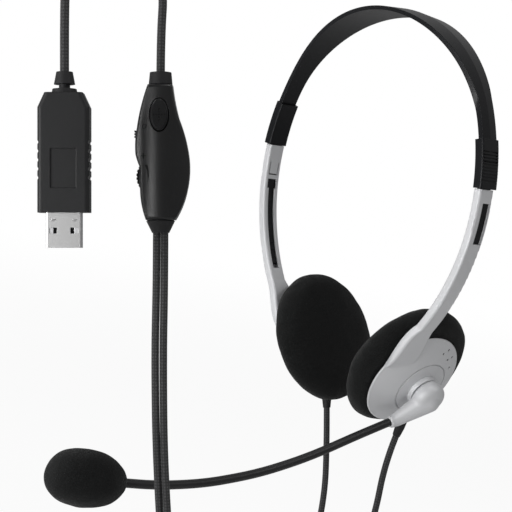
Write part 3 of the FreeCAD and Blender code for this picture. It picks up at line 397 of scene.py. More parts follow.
# %% Silver finish
def silver_paint(name, color, roughness):
    finish = Finish(name, color, roughness, metallic=0.28, Coat_Weight=0.08, Coat_Roughness=0.35)
    flakes, cloud = finish.noise(16000, 1.0), finish.noise(45, 3.0)
    tone = flakes * 0.5 + cloud * 0.5
    finish.feed("Base Color", finish.blend(tone, tuple(c * 0.93 for c in color),
                                           tuple(c * 1.05 for c in color)))
    finish.feed("Roughness", cloud * 0.08 + (roughness - 0.04))
    return finish.relief(flakes, 0.000008, 0.6, 0.0005)


silver = silver_paint("silver_paint", (0.70, 0.705, 0.72), 0.54)
print("paint:", silver.name)

# %% [markdown]
# ## Metal
# The plug's shell is pressed from thin sheet and nickel plated. The stamping leaves long faint
# scratches along the shell, which a noise stretched in one direction gives.

# %% Metal finishes
def plated(name, color, roughness, stretch=(1, 1, 0.05)):
    finish = Finish(name, color, roughness, metallic=1.0)
    along = finish.node("ShaderNodeMapping", None, {"Vector": finish.place(), "Scale": stretch})
    streak = finish.noise(6000, 2.0, where=along)
    finish.feed("Roughness", streak * 0.16 + (roughness - 0.06))
    return finish.relief(streak, 0.000006, 0.5, 0.0001)


nickel = plated("nickel_plate", (0.52, 0.52, 0.52), 0.30)
gold = plated("gold_plate", (0.83, 0.62, 0.28), 0.25)
steel = plated("plain_steel", (0.55, 0.55, 0.56), 0.35, (1, 1, 1))
print("metals:", nickel.name, gold.name, steel.name)

# %% [markdown]
# ## Foam
# The ear cushions and the windscreen are open-cell foam, which swallows light: a very dark,
# rough colour with hardly any gloss, and a trace of sheen where the cell walls catch the light
# at the edge. Voronoi cells of half a millimetre are its pores, and a broader noise stands
# for places that are pressed a little flatter. The colour is painted darker in the pits of the
# pores and paler on the cell walls, as painted shade.

# %% Foam finish
def foam_finish(name, color, cell):
    finish = Finish(name, color, 0.97, Specular_IOR_Level=0.12, Sheen_Weight=0.10,
                    Sheen_Roughness=0.45)
    pores = finish.node("ShaderNodeTexVoronoi", {"feature": "F1"},
                        {"Vector": finish.place(), "Scale": 1 / cell})
    cloud, lumps = finish.noise(90, 3.0), finish.noise(700, 3.0)
    wall = pores.soft(0.05, 0.75)
    height = wall * 0.6 + lumps * 0.4
    # painted shade: the colour is darker in the pits of the pores and paler on their walls, and the broad noise varies
    # the tone
    shade = wall * 0.65 + cloud * 0.35
    finish.feed("Base Color", finish.blend(shade, tuple(c * 0.35 for c in color),
                                           tuple(c * 1.7 for c in color)))
    return finish.relief(height, 0.00022, 0.85)


foam = foam_finish("open_cell_foam", (0.0090, 0.0094, 0.0094), 0.00045)
print("foam:", foam.name)

# %% [markdown]
# ## Which finish goes where
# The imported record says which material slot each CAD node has, so one table from slot to finish
# paints the whole frame.

# %% Paint the CAD nodes
BY_SLOT = {"black_band": black_band, "silver_plastic": silver, "black_plastic": black_plastic,
           "clear_film": film, "steel": steel, "soft_rubber": rubber, "boom_black": boom_black,
           "control_black": control_black, "button_black": button_black, "board_green": board,
           "plug_grey": plug_grey, "nickel": nickel, "white_plastic": white_plastic,
           "gold": gold, "tie_black": tie_black, "foam": foam, "braided_cord": rubber}
for entry in frame["record"]["subparts"]:
    mesh = nodes[entry["node"]].data
    mesh.materials.clear()
    mesh.materials.append(BY_SLOT[entry["material_slot"]].material)
print("painted", len(nodes), "nodes")

# %% [markdown]
# ## The cords
# The jacket is a braid of fine yarn. Each cord keeps its real length: the two thin ones run from
# the cups to the control, and the thick one from the control to the plug, with the length that
# isn't needed wound into a tied coil. The points below are a route that a NURBS spline rounds,
# as a soft cord would.

# %% Cord routes
CONTROL, PLUG = Vector((0.0128, -0.1410, 0.0779)), Vector((0.0158, -0.1842, 0.0740))
EAR_CORD, MAIN_CORD = 0.0028, 0.0031

LEFT_ROUTE = [(0.02251, 0.00674, -0.02704), (0.01836, 0.00674, -0.04249), (0.0215, 0.003, -0.068),
              (0.0285, -0.0140, -0.1010), (0.0320, -0.0380, -0.1210), (0.0358, -0.0680, -0.1270),
              (0.0396, -0.0990, -0.1140), (0.0416, -0.1220, -0.0860), (0.0366, -0.13355, -0.03605),
              (0.0284, -0.13645, 0.00495), (0.0232, -0.1374, 0.03195), (0.0192, -0.13845, 0.05195)]
RIGHT_ROUTE = [(-0.02251, 0.00674, -0.02704), (-0.01836, 0.00674, -0.04249),
               (-0.008, 0.002, -0.07), (0.0040, -0.0150, -0.1010), (0.0150, -0.0380, -0.1230),
               (0.0250, -0.0670, -0.1300), (0.0335, -0.0980, -0.1180), (0.0380, -0.1225, -0.0890),
               (0.03425, -0.1356, -0.03453), (0.02615, -0.1386, 0.00547),
               (0.02125, -0.1395, 0.03197), (0.01735, -0.1405, 0.05147)]
CONTROL_LEAD = [(0.00755, -0.14224, 0.10436), (0.00455, -0.14294, 0.11896),
                (0.00035, -0.14194, 0.13736)]
PLUG_LEAD = [(0.01093, -0.18545, 0.09793), (0.00773, -0.18635, 0.11353),
             (0.00333, -0.18665, 0.13293)]
COIL_CENTRE = Vector((-0.0026, -0.1656, 0.1660))
COIL_FACE = Vector((0.9705, 0.0800, 0.2273)).normalized()
COIL_RADIUS, COIL_TURNS = 0.0186, 9.5


def coil_points():
    """The wound length: three layers of turns that lie a cord's width apart."""
    side = Vector((-0.0822, 0.9966, 0))
    side = (side - COIL_FACE * side.dot(COIL_FACE)).normalized()
    up = COIL_FACE.cross(side)
    up = up if up.z > 0 else -up
    lanes = [(x * MAIN_CORD, layer * MAIN_CORD)
             for layer, across in ((-1, (-1, 0, 1)), (0, (1.5, 0.5, -0.5, -1.5)), (1, (-1, 0, 1)))
             for x in across]
    per_turn = 16
    grow = 1 / math.cos(math.pi / per_turn)
    points = []
    for i in range(round(COIL_TURNS * per_turn) + 1):
        turn, angle = i // per_turn, 2 * math.pi * i / per_turn
        # the last quarter of each turn crosses to the next lane
        share = max(0, (i % per_turn) / per_turn - 0.75) * 4
        here, after = lanes[turn], lanes[min(turn + 1, len(lanes) - 1)]
        out, deep = (here[k] + (after[k] - here[k]) * share for k in (0, 1))
        spoke = side * math.cos(angle) + up * math.sin(angle)
        points.append(COIL_CENTRE + spoke * (COIL_RADIUS + out) * grow + COIL_FACE * deep)
    return points


coil = coil_points()
MAIN_ROUTE = CONTROL_LEAD + [tuple(p) for p in coil] + list(reversed(PLUG_LEAD))
print("coil:", len(coil), "points, first", [round(x, 4) for x in coil[0]],
      "last", [round(x, 4) for x in coil[-1]])

# %% [markdown]
# ## A braid that follows its cord
# Geometry Nodes sweep a circle along a curve. While they do it, they can note down for every
# point how far along the cord it is and which way round, and the material reads those notes to
# lay its yarns. The angle is kept as a direction, so it has no seam.

# %% Cord sweep
def new_tree(name, inputs):
    """An empty tree with those inputs, and short ways to add, link and chain its nodes."""
    tree = bpy.data.node_groups.new(name, "GeometryNodeTree")
    for label, kind in (("Geometry", "Geometry"), *inputs, ("Material", "Material")):
        tree.interface.new_socket(label, in_out="INPUT", socket_type="NodeSocket" + kind)
    tree.interface.new_socket("Geometry", in_out="OUTPUT", socket_type="NodeSocketGeometry")

    def add(kind, **settings):
        made = tree.nodes.new(kind)
        for label, value in settings.items():
            setattr(made, label, value)
        return made

    def chain(*steps):
        """Feeds each node's first output to the next node's first input."""
        for one, after in zip(steps, steps[1:]):
            tree.links.new(one.outputs[0], after.inputs[0])

    return tree, add, tree.links.new, chain


def cord_tree():
    tree, add, link, chain = new_tree(
        "cord_sweep", (("Diameter", "Float"), ("Spacing", "Float"), ("Sides", "Int")))
    given, result = add("NodeGroupInput"), add("NodeGroupOutput")
    even = add("GeometryNodeResampleCurve")
    even.mode = "LENGTH"
    run = add("GeometryNodeSplineParameter")
    keep_run = add("GeometryNodeStoreNamedAttribute", data_type="FLOAT", domain="POINT")
    keep_run.inputs["Name"].default_value = "run"
    ring = add("GeometryNodeCurvePrimitiveCircle")
    where = add("GeometryNodeInputPosition")
    keep_way = add("GeometryNodeStoreNamedAttribute", data_type="FLOAT_VECTOR", domain="POINT")
    keep_way.inputs["Name"].default_value = "way"
    unit = add("ShaderNodeVectorMath", operation="NORMALIZE")
    half = add("ShaderNodeMath", operation="MULTIPLY")
    half.inputs[1].default_value = 0.5
    sweep = add("GeometryNodeCurveToMesh")
    sweep.inputs["Fill Caps"].default_value = True
    smooth = add("GeometryNodeSetShadeSmooth")
    real = add("GeometryNodeRealizeInstances")
    paint = add("GeometryNodeSetMaterial")
    chain(given, even, keep_run, sweep, smooth, real, paint, result)
    chain(ring, keep_way)
    chain(where, unit)
    for source, output, target, socket in (
            (given, "Spacing", even, "Length"), (run, "Length", keep_run, "Value"),
            (given, "Diameter", half, 0), (half, 0, ring, "Radius"),
            (given, "Sides", ring, "Resolution"), (unit, 0, keep_way, "Value"),
            (keep_way, 0, sweep, "Profile Curve"), (given, "Material", paint, "Material")):
        link(source.outputs[output], target.inputs[socket])
    return tree


def spline(name, route, resolution=12):
    """A NURBS curve with the route as its control points."""
    curve = bpy.data.curves.new(name, "CURVE")
    curve.dimensions, curve.resolution_u = "3D", resolution
    line = curve.splines.new("NURBS")
    line.points.add(len(route) - 1)
    for point, place in zip(line.points, route):
        point.co = (*place, 1)
    line.order_u, line.use_endpoint_u = 3, True
    return placed(name, curve)


def plain(obj, name):
    """A mesh object with obj's evaluated shape, in place of obj."""
    bpy.context.view_layer.update()
    graph = bpy.context.evaluated_depsgraph_get()
    mesh = bpy.data.meshes.new_from_object(obj.evaluated_get(graph), depsgraph=graph)
    mesh.name = name
    bpy.data.objects.remove(obj)
    return placed(name, mesh)


def run_tree(obj, tree, **inputs):
    """Puts a Geometry Nodes tree on obj and sets its inputs by their identifiers."""
    modifier = obj.modifiers.new(tree.name, "NODES")
    modifier.node_group = tree
    names = {item.name: item.identifier for item in tree.interface.items_tree
             if item.in_out == "INPUT"}
    for name, value in inputs.items():
        modifier[names[name]] = value
    return obj


SWEEP = cord_tree()
print("sweep tree:", len(SWEEP.nodes), "nodes")

# %% [markdown]
# ## The braid's yarns
# Two sets of waves climb the cord, one to the left and one to the right. Where a yarn of one set
# lies over a yarn of the other, their product is high, and that gives the height of the weave.
# The same height sets the colour, dark in the low places between the yarns and pale on their
# crowns: painted shade and a painted highlight.

# %% Braid finish
def braided(name, color, yarns, pitch):
    """Two sets of yarns that wind in opposite directions and pass over and under."""
    finish = Finish(name, color, 0.72, Sheen_Weight=0.15, Sheen_Roughness=0.5)
    run = finish.node("ShaderNodeAttribute", {"attribute_name": "run"}, out="Fac")
    way = finish.node("ShaderNodeAttribute", {"attribute_name": "way"}, out="Vector")
    parts = finish.node("ShaderNodeSeparateXYZ", None, {"Vector": way})
    across = Wire(finish, parts.socket.node.outputs["Y"])
    angle = across.maths("ARCTAN2", across, parts)
    climb = run * (2 * math.pi / pitch)
    left, right = (angle * yarns + climb).sin(), (angle * yarns - climb).sin()
    over = left * right
    yarn = left.abs().most(right.abs())
    weave = (over * 0.5 + 0.5) * yarn
    fuzz = finish.noise(4500, 3.0)
    height = weave * 0.8 + fuzz * 0.2
    # painted shade and highlight: the colour is dark in the low places between the yarns and pale on their crowns
    dark, pale = tuple(c * 0.35 for c in color), tuple(c * 1.9 + 0.01 for c in color)
    finish.feed("Base Color", finish.blend(height.soft(0.15, 0.85), dark, pale))
    return finish.relief(height, 0.00016, 0.9)


braid = braided("braided_jacket", (0.020, 0.020, 0.021), 4, 0.0023)
print("braid:", braid.name)

# %% [markdown]
# ## Laying the cords
# A cord is measured along its centre, so its spline is made twice: once to be swept, and once
# without thickness, for its path and length. Each thin cord swings with its cup's arm at one
# end and hangs on the control at the other, and the piece is blended from one to the other.

# %% Lay the cords
def cord(name, route, diameter, node_names, spacing=0.0004, sides=20):
    shown = run_tree(spline(name + "_line", route), SWEEP, Diameter=diameter, Spacing=spacing,
                     Sides=sides, Material=braid.material)
    path = plain(spline(name + "_centre", route), name + "_centre")
    points = [tuple(v.co) for v in path.data.vertices]
    bpy.data.objects.remove(path)
    made = plain(shown, name)
    length = sum((Vector(b) - Vector(a)).length for a, b in zip(points, points[1:]))
    for node_name in node_names:
        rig.replaces(made, node_name)
    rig.slot(made, "braided_cord")
    print(name, "length %.3f m," % length, len(made.data.polygons), "faces")
    return made, points, length


EAR_CORDS = (("ear_cord_left", LEFT_ROUTE, "cord_left", "left_arm", (0.036, -0.05, -0.120)),
             ("ear_cord_right", RIGHT_ROUTE, "cord_right", "right_arm", (0.020, -0.05, -0.120)))
ear_cords = [cord(name, route, EAR_CORD, [node]) for name, route, node, _, _ in EAR_CORDS]
main_cord, main_path, main_length = cord("main_cord", MAIN_ROUTE, MAIN_CORD,
                                         ["cord_control_lead", "cord_plug_lead", "cord_coil"],
                                         spacing=0.0008, sides=14)
for (made, path, _), (_, _, _, arm, lowest) in zip(ear_cords, EAR_CORDS):
    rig.blend(made, arm, "headband", path[0], lowest)
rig.ride(main_cord, "headband")
for made, path, length in ear_cords:
    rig.cord(made, path[0], length, EAR_CORD, "object", "medium", "hanging", path=path)
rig.cord(main_cord, main_path[0], main_length, MAIN_CORD, "plug", "medium", "coiled",
        path=main_path, with_pieces=[n for n in nodes if n.startswith("usb_")] + ["cord_tie"])

# %% [markdown]
# ## Where things sit
# The cup leans out at the bottom and turns a little forward, so its pieces are easiest to draw
# in its own frame: X to the back, Y up in the cup's plane and Z outwards. The control and the
# plug have frames of their own too. A 4 by 4 matrix carries a drawing from such a frame to its
# place, and for the right cup a mirror does the rest.

# %% Frames
CUP_OFFSET, CUP_TILT, CUP_TOE = 0.030202, math.radians(25.5), math.radians(3.3)


def frame_at(origin, right, up, out):
    return Matrix.Translation(origin) @ Matrix((right, up, out)).transposed().to_4x4()


cup_out = Vector((math.cos(CUP_TILT) * math.cos(CUP_TOE), -math.cos(CUP_TILT) * math.sin(CUP_TOE),
                  -math.sin(CUP_TILT)))
cup_up = Vector((math.sin(CUP_TILT) * math.cos(CUP_TOE), -math.sin(CUP_TILT) * math.sin(CUP_TOE),
                 math.cos(CUP_TILT)))
LEFT_CUP = frame_at((CUP_OFFSET, 0, 0), cup_up.cross(cup_out), cup_up, cup_out)
HANG = (Vector((0.6588, 0.7323, 0.1726)), Vector((-0.1993, -0.0513, 0.9786)),
        Vector((0.7254, -0.6791, 0.1122)))
CONTROL_FRAME, PLUG_FRAME = frame_at(CONTROL, *HANG), frame_at(PLUG, *HANG)
MIRROR = Matrix.Scale(-1, 4, (1, 0, 0))
print("cup looks along", [round(x, 3) for x in cup_out])

# %% [markdown]
# ## Turned shapes
# Foam cushions are cut or moulded round, as many plastic parts are, so a profile turned about an
# axis gives their shape: `turned` makes it from radius and height pairs, in millimetres, and
# `eased` draws a smooth profile through a few points. Most pieces from here on are meshes that
# bmesh builds or changes, so opening and closing one gets a helper each.

# %% Turned shapes
MM = 0.001


def turned(name, profile, sides, where):
    """A closed mesh from (radius, height) pairs in millimetres, turned about the frame's Z."""
    corners, faces, rings = [], [], []
    for radius, height in profile:
        if radius == 0:
            rings.append([len(corners)] * sides)
            corners.append(Vector((0, 0, height * MM)))
            continue
        rings.append(list(range(len(corners), len(corners) + sides)))
        corners += [Vector((radius * MM * math.cos(2 * math.pi * i / sides),
                            radius * MM * math.sin(2 * math.pi * i / sides), height * MM))
                    for i in range(sides)]
    for low, high in zip(rings, rings[1:]):
        for i in range(sides):
            k = (i + 1) % sides
            quad = [low[i], low[k], high[k], high[i]]
            faces.append(list(dict.fromkeys(quad)))
    return mesh_piece(name, [where @ c for c in corners], faces)


def opened(*pieces):
    """A bmesh of those pieces' meshes."""
    shape = bmesh.new()
    for piece in pieces:
        shape.from_mesh(piece.data)
    return shape


def closed(shape, mesh, smooth=True):
    """Writes a bmesh into a mesh and lets go of it."""
    shape.to_mesh(mesh)
    shape.free()
    if smooth:
        mesh.polygons.foreach_set("use_smooth", [True] * len(mesh.polygons))
    return mesh


def mesh_piece(name, corners, faces):
    made = placed(name, bpy.data.meshes.new(name))
    made.data.from_pydata([tuple(c) for c in corners], [], faces)
    shape = opened(made)
    bmesh.ops.remove_doubles(shape, verts=shape.verts, dist=1e-7)
    bmesh.ops.recalc_face_normals(shape, faces=shape.faces)
    closed(shape, made.data)
    return made


def eased(points, steps):
    """A smooth line through a few points, by Catmull-Rom pieces."""
    ends = [points[0]] + points + [points[-1]]
    line = []
    for a, b, c, d in zip(ends, ends[1:], ends[2:], ends[3:]):
        for i in range(steps):
            t = i / steps
            line.append(tuple(0.5 * (2 * q + (r - p) * t + (2 * p - 5 * q + 4 * r - s) * t ** 2
                                     + (3 * q - p - 3 * r + s) * t ** 3)
                              for p, q, r, s in zip(a, b, c, d)))
    return line + [points[-1]]


print("turning helpers ready")

# %% [markdown]
# ## Swelling foam
# What makes foam look soft is that it bulges between the places that hold it. A short cloth
# simulation with air pressure inside does that. Cloth in Blender is tuned for things larger
# than a cushion of this size, so the piece is simulated ten times as large, its seat on the
# plastic is pinned, and no point may move more than a cap. A noise then makes it uneven, and one
# subdivision rounds it.

# %% Swelling foam
GROWTH, FRAMES = 10.0, 20


def swell(piece, held, cap, pressure=4.0):
    """Blows a closed piece up a little, apart from the points that `held` names."""
    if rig.quick():
        return 0.0
    mesh = piece.data
    rest = [v.co.copy() for v in mesh.vertices]
    for v in mesh.vertices:
        v.co = v.co * GROWTH
    pins = piece.vertex_groups.new(name="held")
    pins.add([i for i, co in enumerate(rest) if held(co)], 1.0, "REPLACE")
    cloth = piece.modifiers.new("air", "CLOTH")
    rules = cloth.settings
    rules.vertex_group_mass, rules.quality, rules.mass = "held", 4, 0.2
    rules.use_pressure, rules.uniform_pressure_force = True, pressure
    rules.tension_stiffness = rules.compression_stiffness = 12
    rules.effector_weights.gravity = 0
    cloth.point_cache.frame_start, cloth.point_cache.frame_end = 1, FRAMES
    for step in range(1, FRAMES + 1):
        bpy.context.scene.frame_set(step)
    graph = bpy.context.evaluated_depsgraph_get()
    blown = piece.evaluated_get(graph).data
    moves = [v.co / GROWTH - co for v, co in zip(blown.vertices, rest)]
    piece.modifiers.remove(cloth)
    piece.vertex_groups.remove(pins)
    bpy.context.scene.frame_set(1)
    most = 0.0
    for v, co, move in zip(mesh.vertices, rest, moves):
        reach = min(move.length, cap)
        most = max(most, reach)
        v.co = co + (move.normalized() * reach if reach else move)
    return most


def ruffle(piece, free, wave, height, seed):
    """Uneven foam: pushes points along their normals by a noise of that wavelength."""
    shift = Vector((seed, seed * 0.7, seed * 1.3))
    pushes = [(v, v.normal * height * noise.noise(v.co / wave + shift))
              for v in piece.data.vertices if free(v.co)]
    for v, push in pushes:
        v.co += push
    piece.data.update()


def rounder(piece, levels=1):
    """One subdivision, applied."""
    fine = piece.modifiers.new("fine", "SUBSURF")
    fine.levels = fine.render_levels = levels
    return plain(piece, piece.name)


print("simulation:", FRAMES, "frames at", GROWTH, "times the size")

# %% [markdown]
# ## Ear cushions
# Each cushion is a thick disc of foam with a pocket in its back, pulled over the flange of the
# speaker plate like a shower cap. Its face is nearly flat, its rim is fat, and the lip curls
# round behind the flange. The profile starts a little slimmer than the finished foam, because
# the air swells it, and the pocket stays pinned so that the plate still fits.

# %% Ear cushions
PAD_OUTSIDE = [(0, -14.0), (7, -13.9), (14, -13.45), (20, -12.6), (25, -10.9), (28.3, -8.0),
               (29.3, -5.0), (28.6, -2.2), (26.6, -0.2), (23.6, 0.55), (20, 0.65), (17.7, 0.6)]
PAD_POCKET = [(17.7, -0.35), (19.5, -0.4), (22, -0.4), (25.25, -0.4), (25.3, -2.2), (25.25, -4.0),
              (21, -4.1), (16, -4.1), (11, -4.1), (6, -4.1), (0, -4.1)]


def finished(piece, finish, body, slot_name, replaced=()):
    piece.data.materials.clear()
    piece.data.materials.append(finish.material)
    for node_name in replaced:
        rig.replaces(piece, node_name)
    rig.ride(piece, body)
    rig.slot(piece, slot_name)
    return piece


def in_frame(inside, co):
    """A point in a frame's millimetres, and its distance from the frame's axis."""
    at = (inside @ co) / MM
    return at, math.hypot(at.x, at.y)


def ear_cushion(name, mirrored, cad_node, body, seed):
    made = turned(name, eased(PAD_OUTSIDE, 4) + PAD_POCKET, 112, LEFT_CUP)
    inside = LEFT_CUP.inverted()

    def seated(co):
        at, radius = in_frame(inside, co)
        return at.z > -4.3 and radius < 26.0 and not (at.z > -0.2 and radius > 20)

    most = swell(made, seated, 0.7 * MM)
    for wave, height, shift in ((11.0, 0.35, 0), (3.5, 0.10, 5)):
        ruffle(made, lambda co: not seated(co), wave * MM, height * MM, seed + shift)
    made = rounder(made)
    if mirrored:
        made.data.transform(MIRROR)
        made.data.flip_normals()
    finished(made, foam, body, "foam", [cad_node])
    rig.padded(made, fill=1.0)
    print(name, len(made.data.polygons), "faces, swelled by %.2f mm" % (most / MM))


ear_cushion("ear_cushion_left", False, "left_ear_pad", "left_arm", 3.0)
ear_cushion("ear_cushion_right", True, "right_ear_pad", "right_arm", 11.0)

# %% [markdown]
# ## Windscreen
# The microphone sits in a foam ball that is pushed over it and grips the boom. It is an egg
# rather than a ball, and the foam is drawn in where its hole closes round the boom. The hole
# inside leaves room for the capsule and its holder.

# %% Windscreen
MIC_WAY = Vector((-0.10, -0.97, 0.14)).normalized()
MIC_SEAT = Vector((0.0187, -0.1420, -0.0436)) + MIC_WAY * 0.0117
mic_side = MIC_WAY.cross(Vector((0, 0, 1))).normalized()
MIC_FRAME = frame_at(MIC_SEAT, mic_side, MIC_WAY.cross(mic_side), MIC_WAY)
EGG = [(0, 15.7), (4.2, 15.1), (7.6, 12.6), (9.6, 8.6), (10.35, 4.0), (10.45, -0.5),
       (9.9, -5.2), (8.3, -9.8), (5.9, -13.4), (3.9, -15.2), (2.6, -15.9), (2.0, -15.9)]
CAPSULE_ROOM = [(2.0, -15.3), (3.3, -15.1), (3.3, -9.0), (3.3, -2.2), (5.0, 0), (5.0, 3.5),
                (5.0, 6.9), (2.5, 6.95), (0, 6.95)]
windscreen = turned("mic_windscreen", eased(EGG, 5) + CAPSULE_ROOM, 72, MIC_FRAME)
mic_inside = MIC_FRAME.inverted()


def on_mic(co):
    at, radius = in_frame(mic_inside, co)
    return radius < 5.6 and -14.6 < at.z < 7.2 or at.z < -15.0


most = swell(windscreen, on_mic, 0.5 * MM)
for wave, height, seed in ((8.0, 0.35, 21.0), (2.8, 0.10, 27.0)):
    ruffle(windscreen, lambda co: not on_mic(co), wave * MM, height * MM, seed)
windscreen = finished(rounder(windscreen), foam, "boom", "foam", ["mic_foam"])
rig.padded(windscreen, fill=1.0)
print("windscreen:", len(windscreen.data.polygons), "faces, swelled by %.2f mm" % (most / MM))

# %% [markdown]
# ## The boom's head
# The knob that turns on the cup and the neck that holds the boom are one flowing form: a short
# drum, a neck that swells out of its side and a spout. Drawn as three simple closed solids they
# meet in hard creases. A voxel remesh turns them into one skin, and smoothing that skin lets
# the creases melt, which is how a modeller would rub wax into a corner.

# %% Boom head
def tapered(start, end, r_start, r_end, steps=14):
    """A profile and its frame for a straight taper between two points, in metres."""
    way = (end - start).normalized()
    across = way.orthogonal().normalized()
    length = (end - start).length / MM
    dome = [(r_start * math.sin(a), -r_start * 0.9 * math.cos(a))
            for a in (math.pi * k / 12 for k in range(6))]
    rows = [(r_start + (r_end - r_start) * k / steps, length * k / steps)
            for k in range(steps + 1)]
    return dome + rows + [(0, length)], frame_at(start, across, way.cross(across), way)


def cut_off(shape, place, way, **side):
    """Cuts a bmesh at a plane, clears one side and closes the cut."""
    cut = bmesh.ops.bisect_plane(
        shape, geom=shape.verts[:] + shape.edges[:] + shape.faces[:], dist=1e-7,
        plane_co=place, plane_no=way, **side)
    bmesh.ops.holes_fill(shape, edges=[e for e in cut["geom_cut"]
                                       if isinstance(e, bmesh.types.BMEdge)], sides=0)


def skinned(shape, name, voxel):
    """A voxel remesh of a bmesh, which joins all that overlaps into one skin."""
    piece = placed(name, closed(shape, bpy.data.meshes.new(name), smooth=False))
    skin = piece.modifiers.new("skin", "REMESH")
    skin.mode, skin.voxel_size = "VOXEL", voxel
    return plain(piece, name)


def relaxed(shape, verts, rounds):
    for _ in range(rounds):
        bmesh.ops.smooth_vert(shape, verts=verts, factor=0.5, use_axis_x=True,
                              use_axis_y=True, use_axis_z=True)


def melted(name, parts, voxel, rounds, ground, up):
    """Joins closed meshes into one skin, flat where they reach the ground, and smooths it."""
    whole = bmesh.new()
    for part in parts:
        one = opened(part)
        cut_off(one, ground, up, clear_inner=True)
        whole.from_mesh(closed(one, part.data, smooth=False))
        bpy.data.objects.remove(part)
    joined = skinned(whole, name, voxel)
    shape = opened(joined)
    relaxed(shape, shape.verts, rounds)
    bmesh.ops.recalc_face_normals(shape, faces=shape.faces)
    closed(shape, joined.data)
    return joined


PIVOT_AT = Vector((3.0, -3.8, 0.0))
PIVOT_FRAME = LEFT_CUP @ Matrix.Translation(PIVOT_AT * MM)
KNOB = [(0, 8.35), (6.9, 8.35), (7.25, 8.7), (7.25, 10.4), (7.2, 12.0), (6.75, 13.3), (5.7, 14.4),
        (3.9, 15.1), (2.0, 15.35), (0, 15.4)]
BOOM_START, BOOM_NEXT = Vector((0.031, -0.0086, -0.0204)), Vector((0.0294, -0.0260, -0.0264))
lead = (BOOM_NEXT - BOOM_START).normalized()
neck_root = LEFT_CUP @ ((PIVOT_AT + Vector((0, -1.0, 11.3))) * MM)
head_parts = [turned("knob", KNOB, 64, PIVOT_FRAME)]
for start, end, r_start, r_end in (
        (neck_root, BOOM_START - lead * 0.0008, 5.7, 3.1),
        (BOOM_START - lead * 0.0044, BOOM_START + lead * 0.0019, 3.1, 2.75)):
    profile, where = tapered(start, end, r_start, r_end)
    head_parts.append(turned("neck", profile, 40, where))
HEAD_FOOT = 8.4
boom_head = rounder(melted("boom_head", head_parts, 0.4 * MM, 12,
                           PIVOT_FRAME @ Vector((0, 0, HEAD_FOOT * MM)), cup_out))
finished(boom_head, silver, "boom", "silver_plastic",
         ["pivot_housing_inner", "pivot_housing_outer"])
print("boom head:", len(boom_head.data.polygons), "faces")

# %% [markdown]
# ## Where the arm melts into the cup
# The arm spreads over the front of the cup's cover and sinks into it without an edge. The CAD
# solid has the right forms but meets them in a crease. A second skin mends that: it is a copy of
# the lower part of the solid, remeshed, drawn in by about a tenth of a millimetre and smoothed.
# Smoothing lowers ridges and fills hollows, so only the filled hollows show above the solid, as
# a fillet. At the groove round the knob and at the vents the skin is pushed down out of sight.

# %% Fillet skin
COVER_AT, PIVOT_RING = Vector((0.3, -2.5)), 12.5
VENTS = [(9.6, 15.0), (6.6, 13.6), (11.0, 10.6), (13.8, 11.4), (14.8, 6.4)]
SKIN_TOP, SKIN_UNDER = 24, 0.12        # where the skin ends up the arm; how far it lies below
FREE_HEIGHT, FREE_RADIUS, ARM_FROM = 1.6, 21.0, 12
RING_WIDTH, RING_DROP, VENT_WIDTH, VENT_DROP = 0.9, 0.55, 1.3, 1.2


def fillet_skin(name, voxel=0.5 * MM, rounds=70):
    shape = opened(nodes["left_arm_cover"])
    bmesh.ops.remove_doubles(shape, verts=shape.verts, dist=1e-6)
    bmesh.ops.transform(shape, matrix=LEFT_CUP.inverted(), verts=shape.verts)
    cut_off(shape, (0, SKIN_TOP * MM, 0), (0, 1, 0), clear_outer=True)
    bmesh.ops.triangulate(shape, faces=shape.faces)
    skin = skinned(shape, name, voxel)
    shape = opened(skin)
    shape.normal_update()
    for v, push in [(v, v.normal * (-SKIN_UNDER * MM)) for v in shape.verts]:
        v.co += push
    free = [v for v in shape.verts if v.co.z > FREE_HEIGHT * MM and
            ((v.co.xy / MM - COVER_AT).length < FREE_RADIUS
             or v.co.y > ARM_FROM * MM and v.co.x < 0)]
    relaxed(shape, free, rounds)
    shape.normal_update()
    for v in shape.verts:
        flat = v.co.xy / MM
        near_ring = abs((flat - PIVOT_AT.xy).length - PIVOT_RING) < RING_WIDTH
        near_vent = any((flat - Vector(vent)).length < VENT_WIDTH for vent in VENTS)
        faces_out = v.normal.z > 0.3
        if faces_out and (near_ring or near_vent):
            v.co.z -= (VENT_DROP if near_vent else RING_DROP) * MM
    bmesh.ops.transform(shape, matrix=LEFT_CUP, verts=shape.verts)
    closed(shape, skin.data)
    return skin


left_skin = fillet_skin("cover_fillet_left")
print("fillet skin:", len(left_skin.data.polygons), "faces")

# %% [markdown]
# ## Cloth behind the vents, and the right cup
# Five small vents in the cover let sound out, and a dark cloth closes them from inside. A thin
# disc in each bore stands for it: a ray dropped on the cover beside the bore finds the height
# of its rim. The right cup wears mirrored copies of the fillet and the cloth.

# %% Vent cloth and copies
def mirrored_copy(piece, name):
    mesh = piece.data.copy()
    mesh.transform(MIRROR)
    mesh.flip_normals()
    return placed(name, mesh)


def vent_cloth(name, depth=0.3, thick=0.6, radius=0.85, rim_radius=1.4):
    """Discs of dark cloth inside the vents' bores, under the cover's surface."""
    cover, to_cup = nodes["left_arm_cover"].data, LEFT_CUP.inverted()
    tree = BVHTree.FromPolygons([to_cup @ v.co for v in cover.vertices],
                                [tuple(face.vertices) for face in cover.polygons])
    discs = []
    for x, y in VENTS:
        rim = [tree.ray_cast(Vector((x + rim_radius * across, y + rim_radius * along, 20)) * MM,
                             Vector((0, 0, -1)))[0].z / MM
               for across, along in ((1, 0), (0, 1), (-1, 0), (0, -1))]
        top = sum(rim) / len(rim) - depth
        profile = [(0, top - thick), (radius, top - thick), (radius, top), (0, top)]
        discs.append(turned("disc", profile, 16,
                            LEFT_CUP @ Matrix.Translation(Vector((x, y, 0)) * MM)))
    mesh = closed(opened(*discs), bpy.data.meshes.new(name), smooth=False)
    for disc in discs:
        bpy.data.objects.remove(disc)
    return placed(name, mesh)


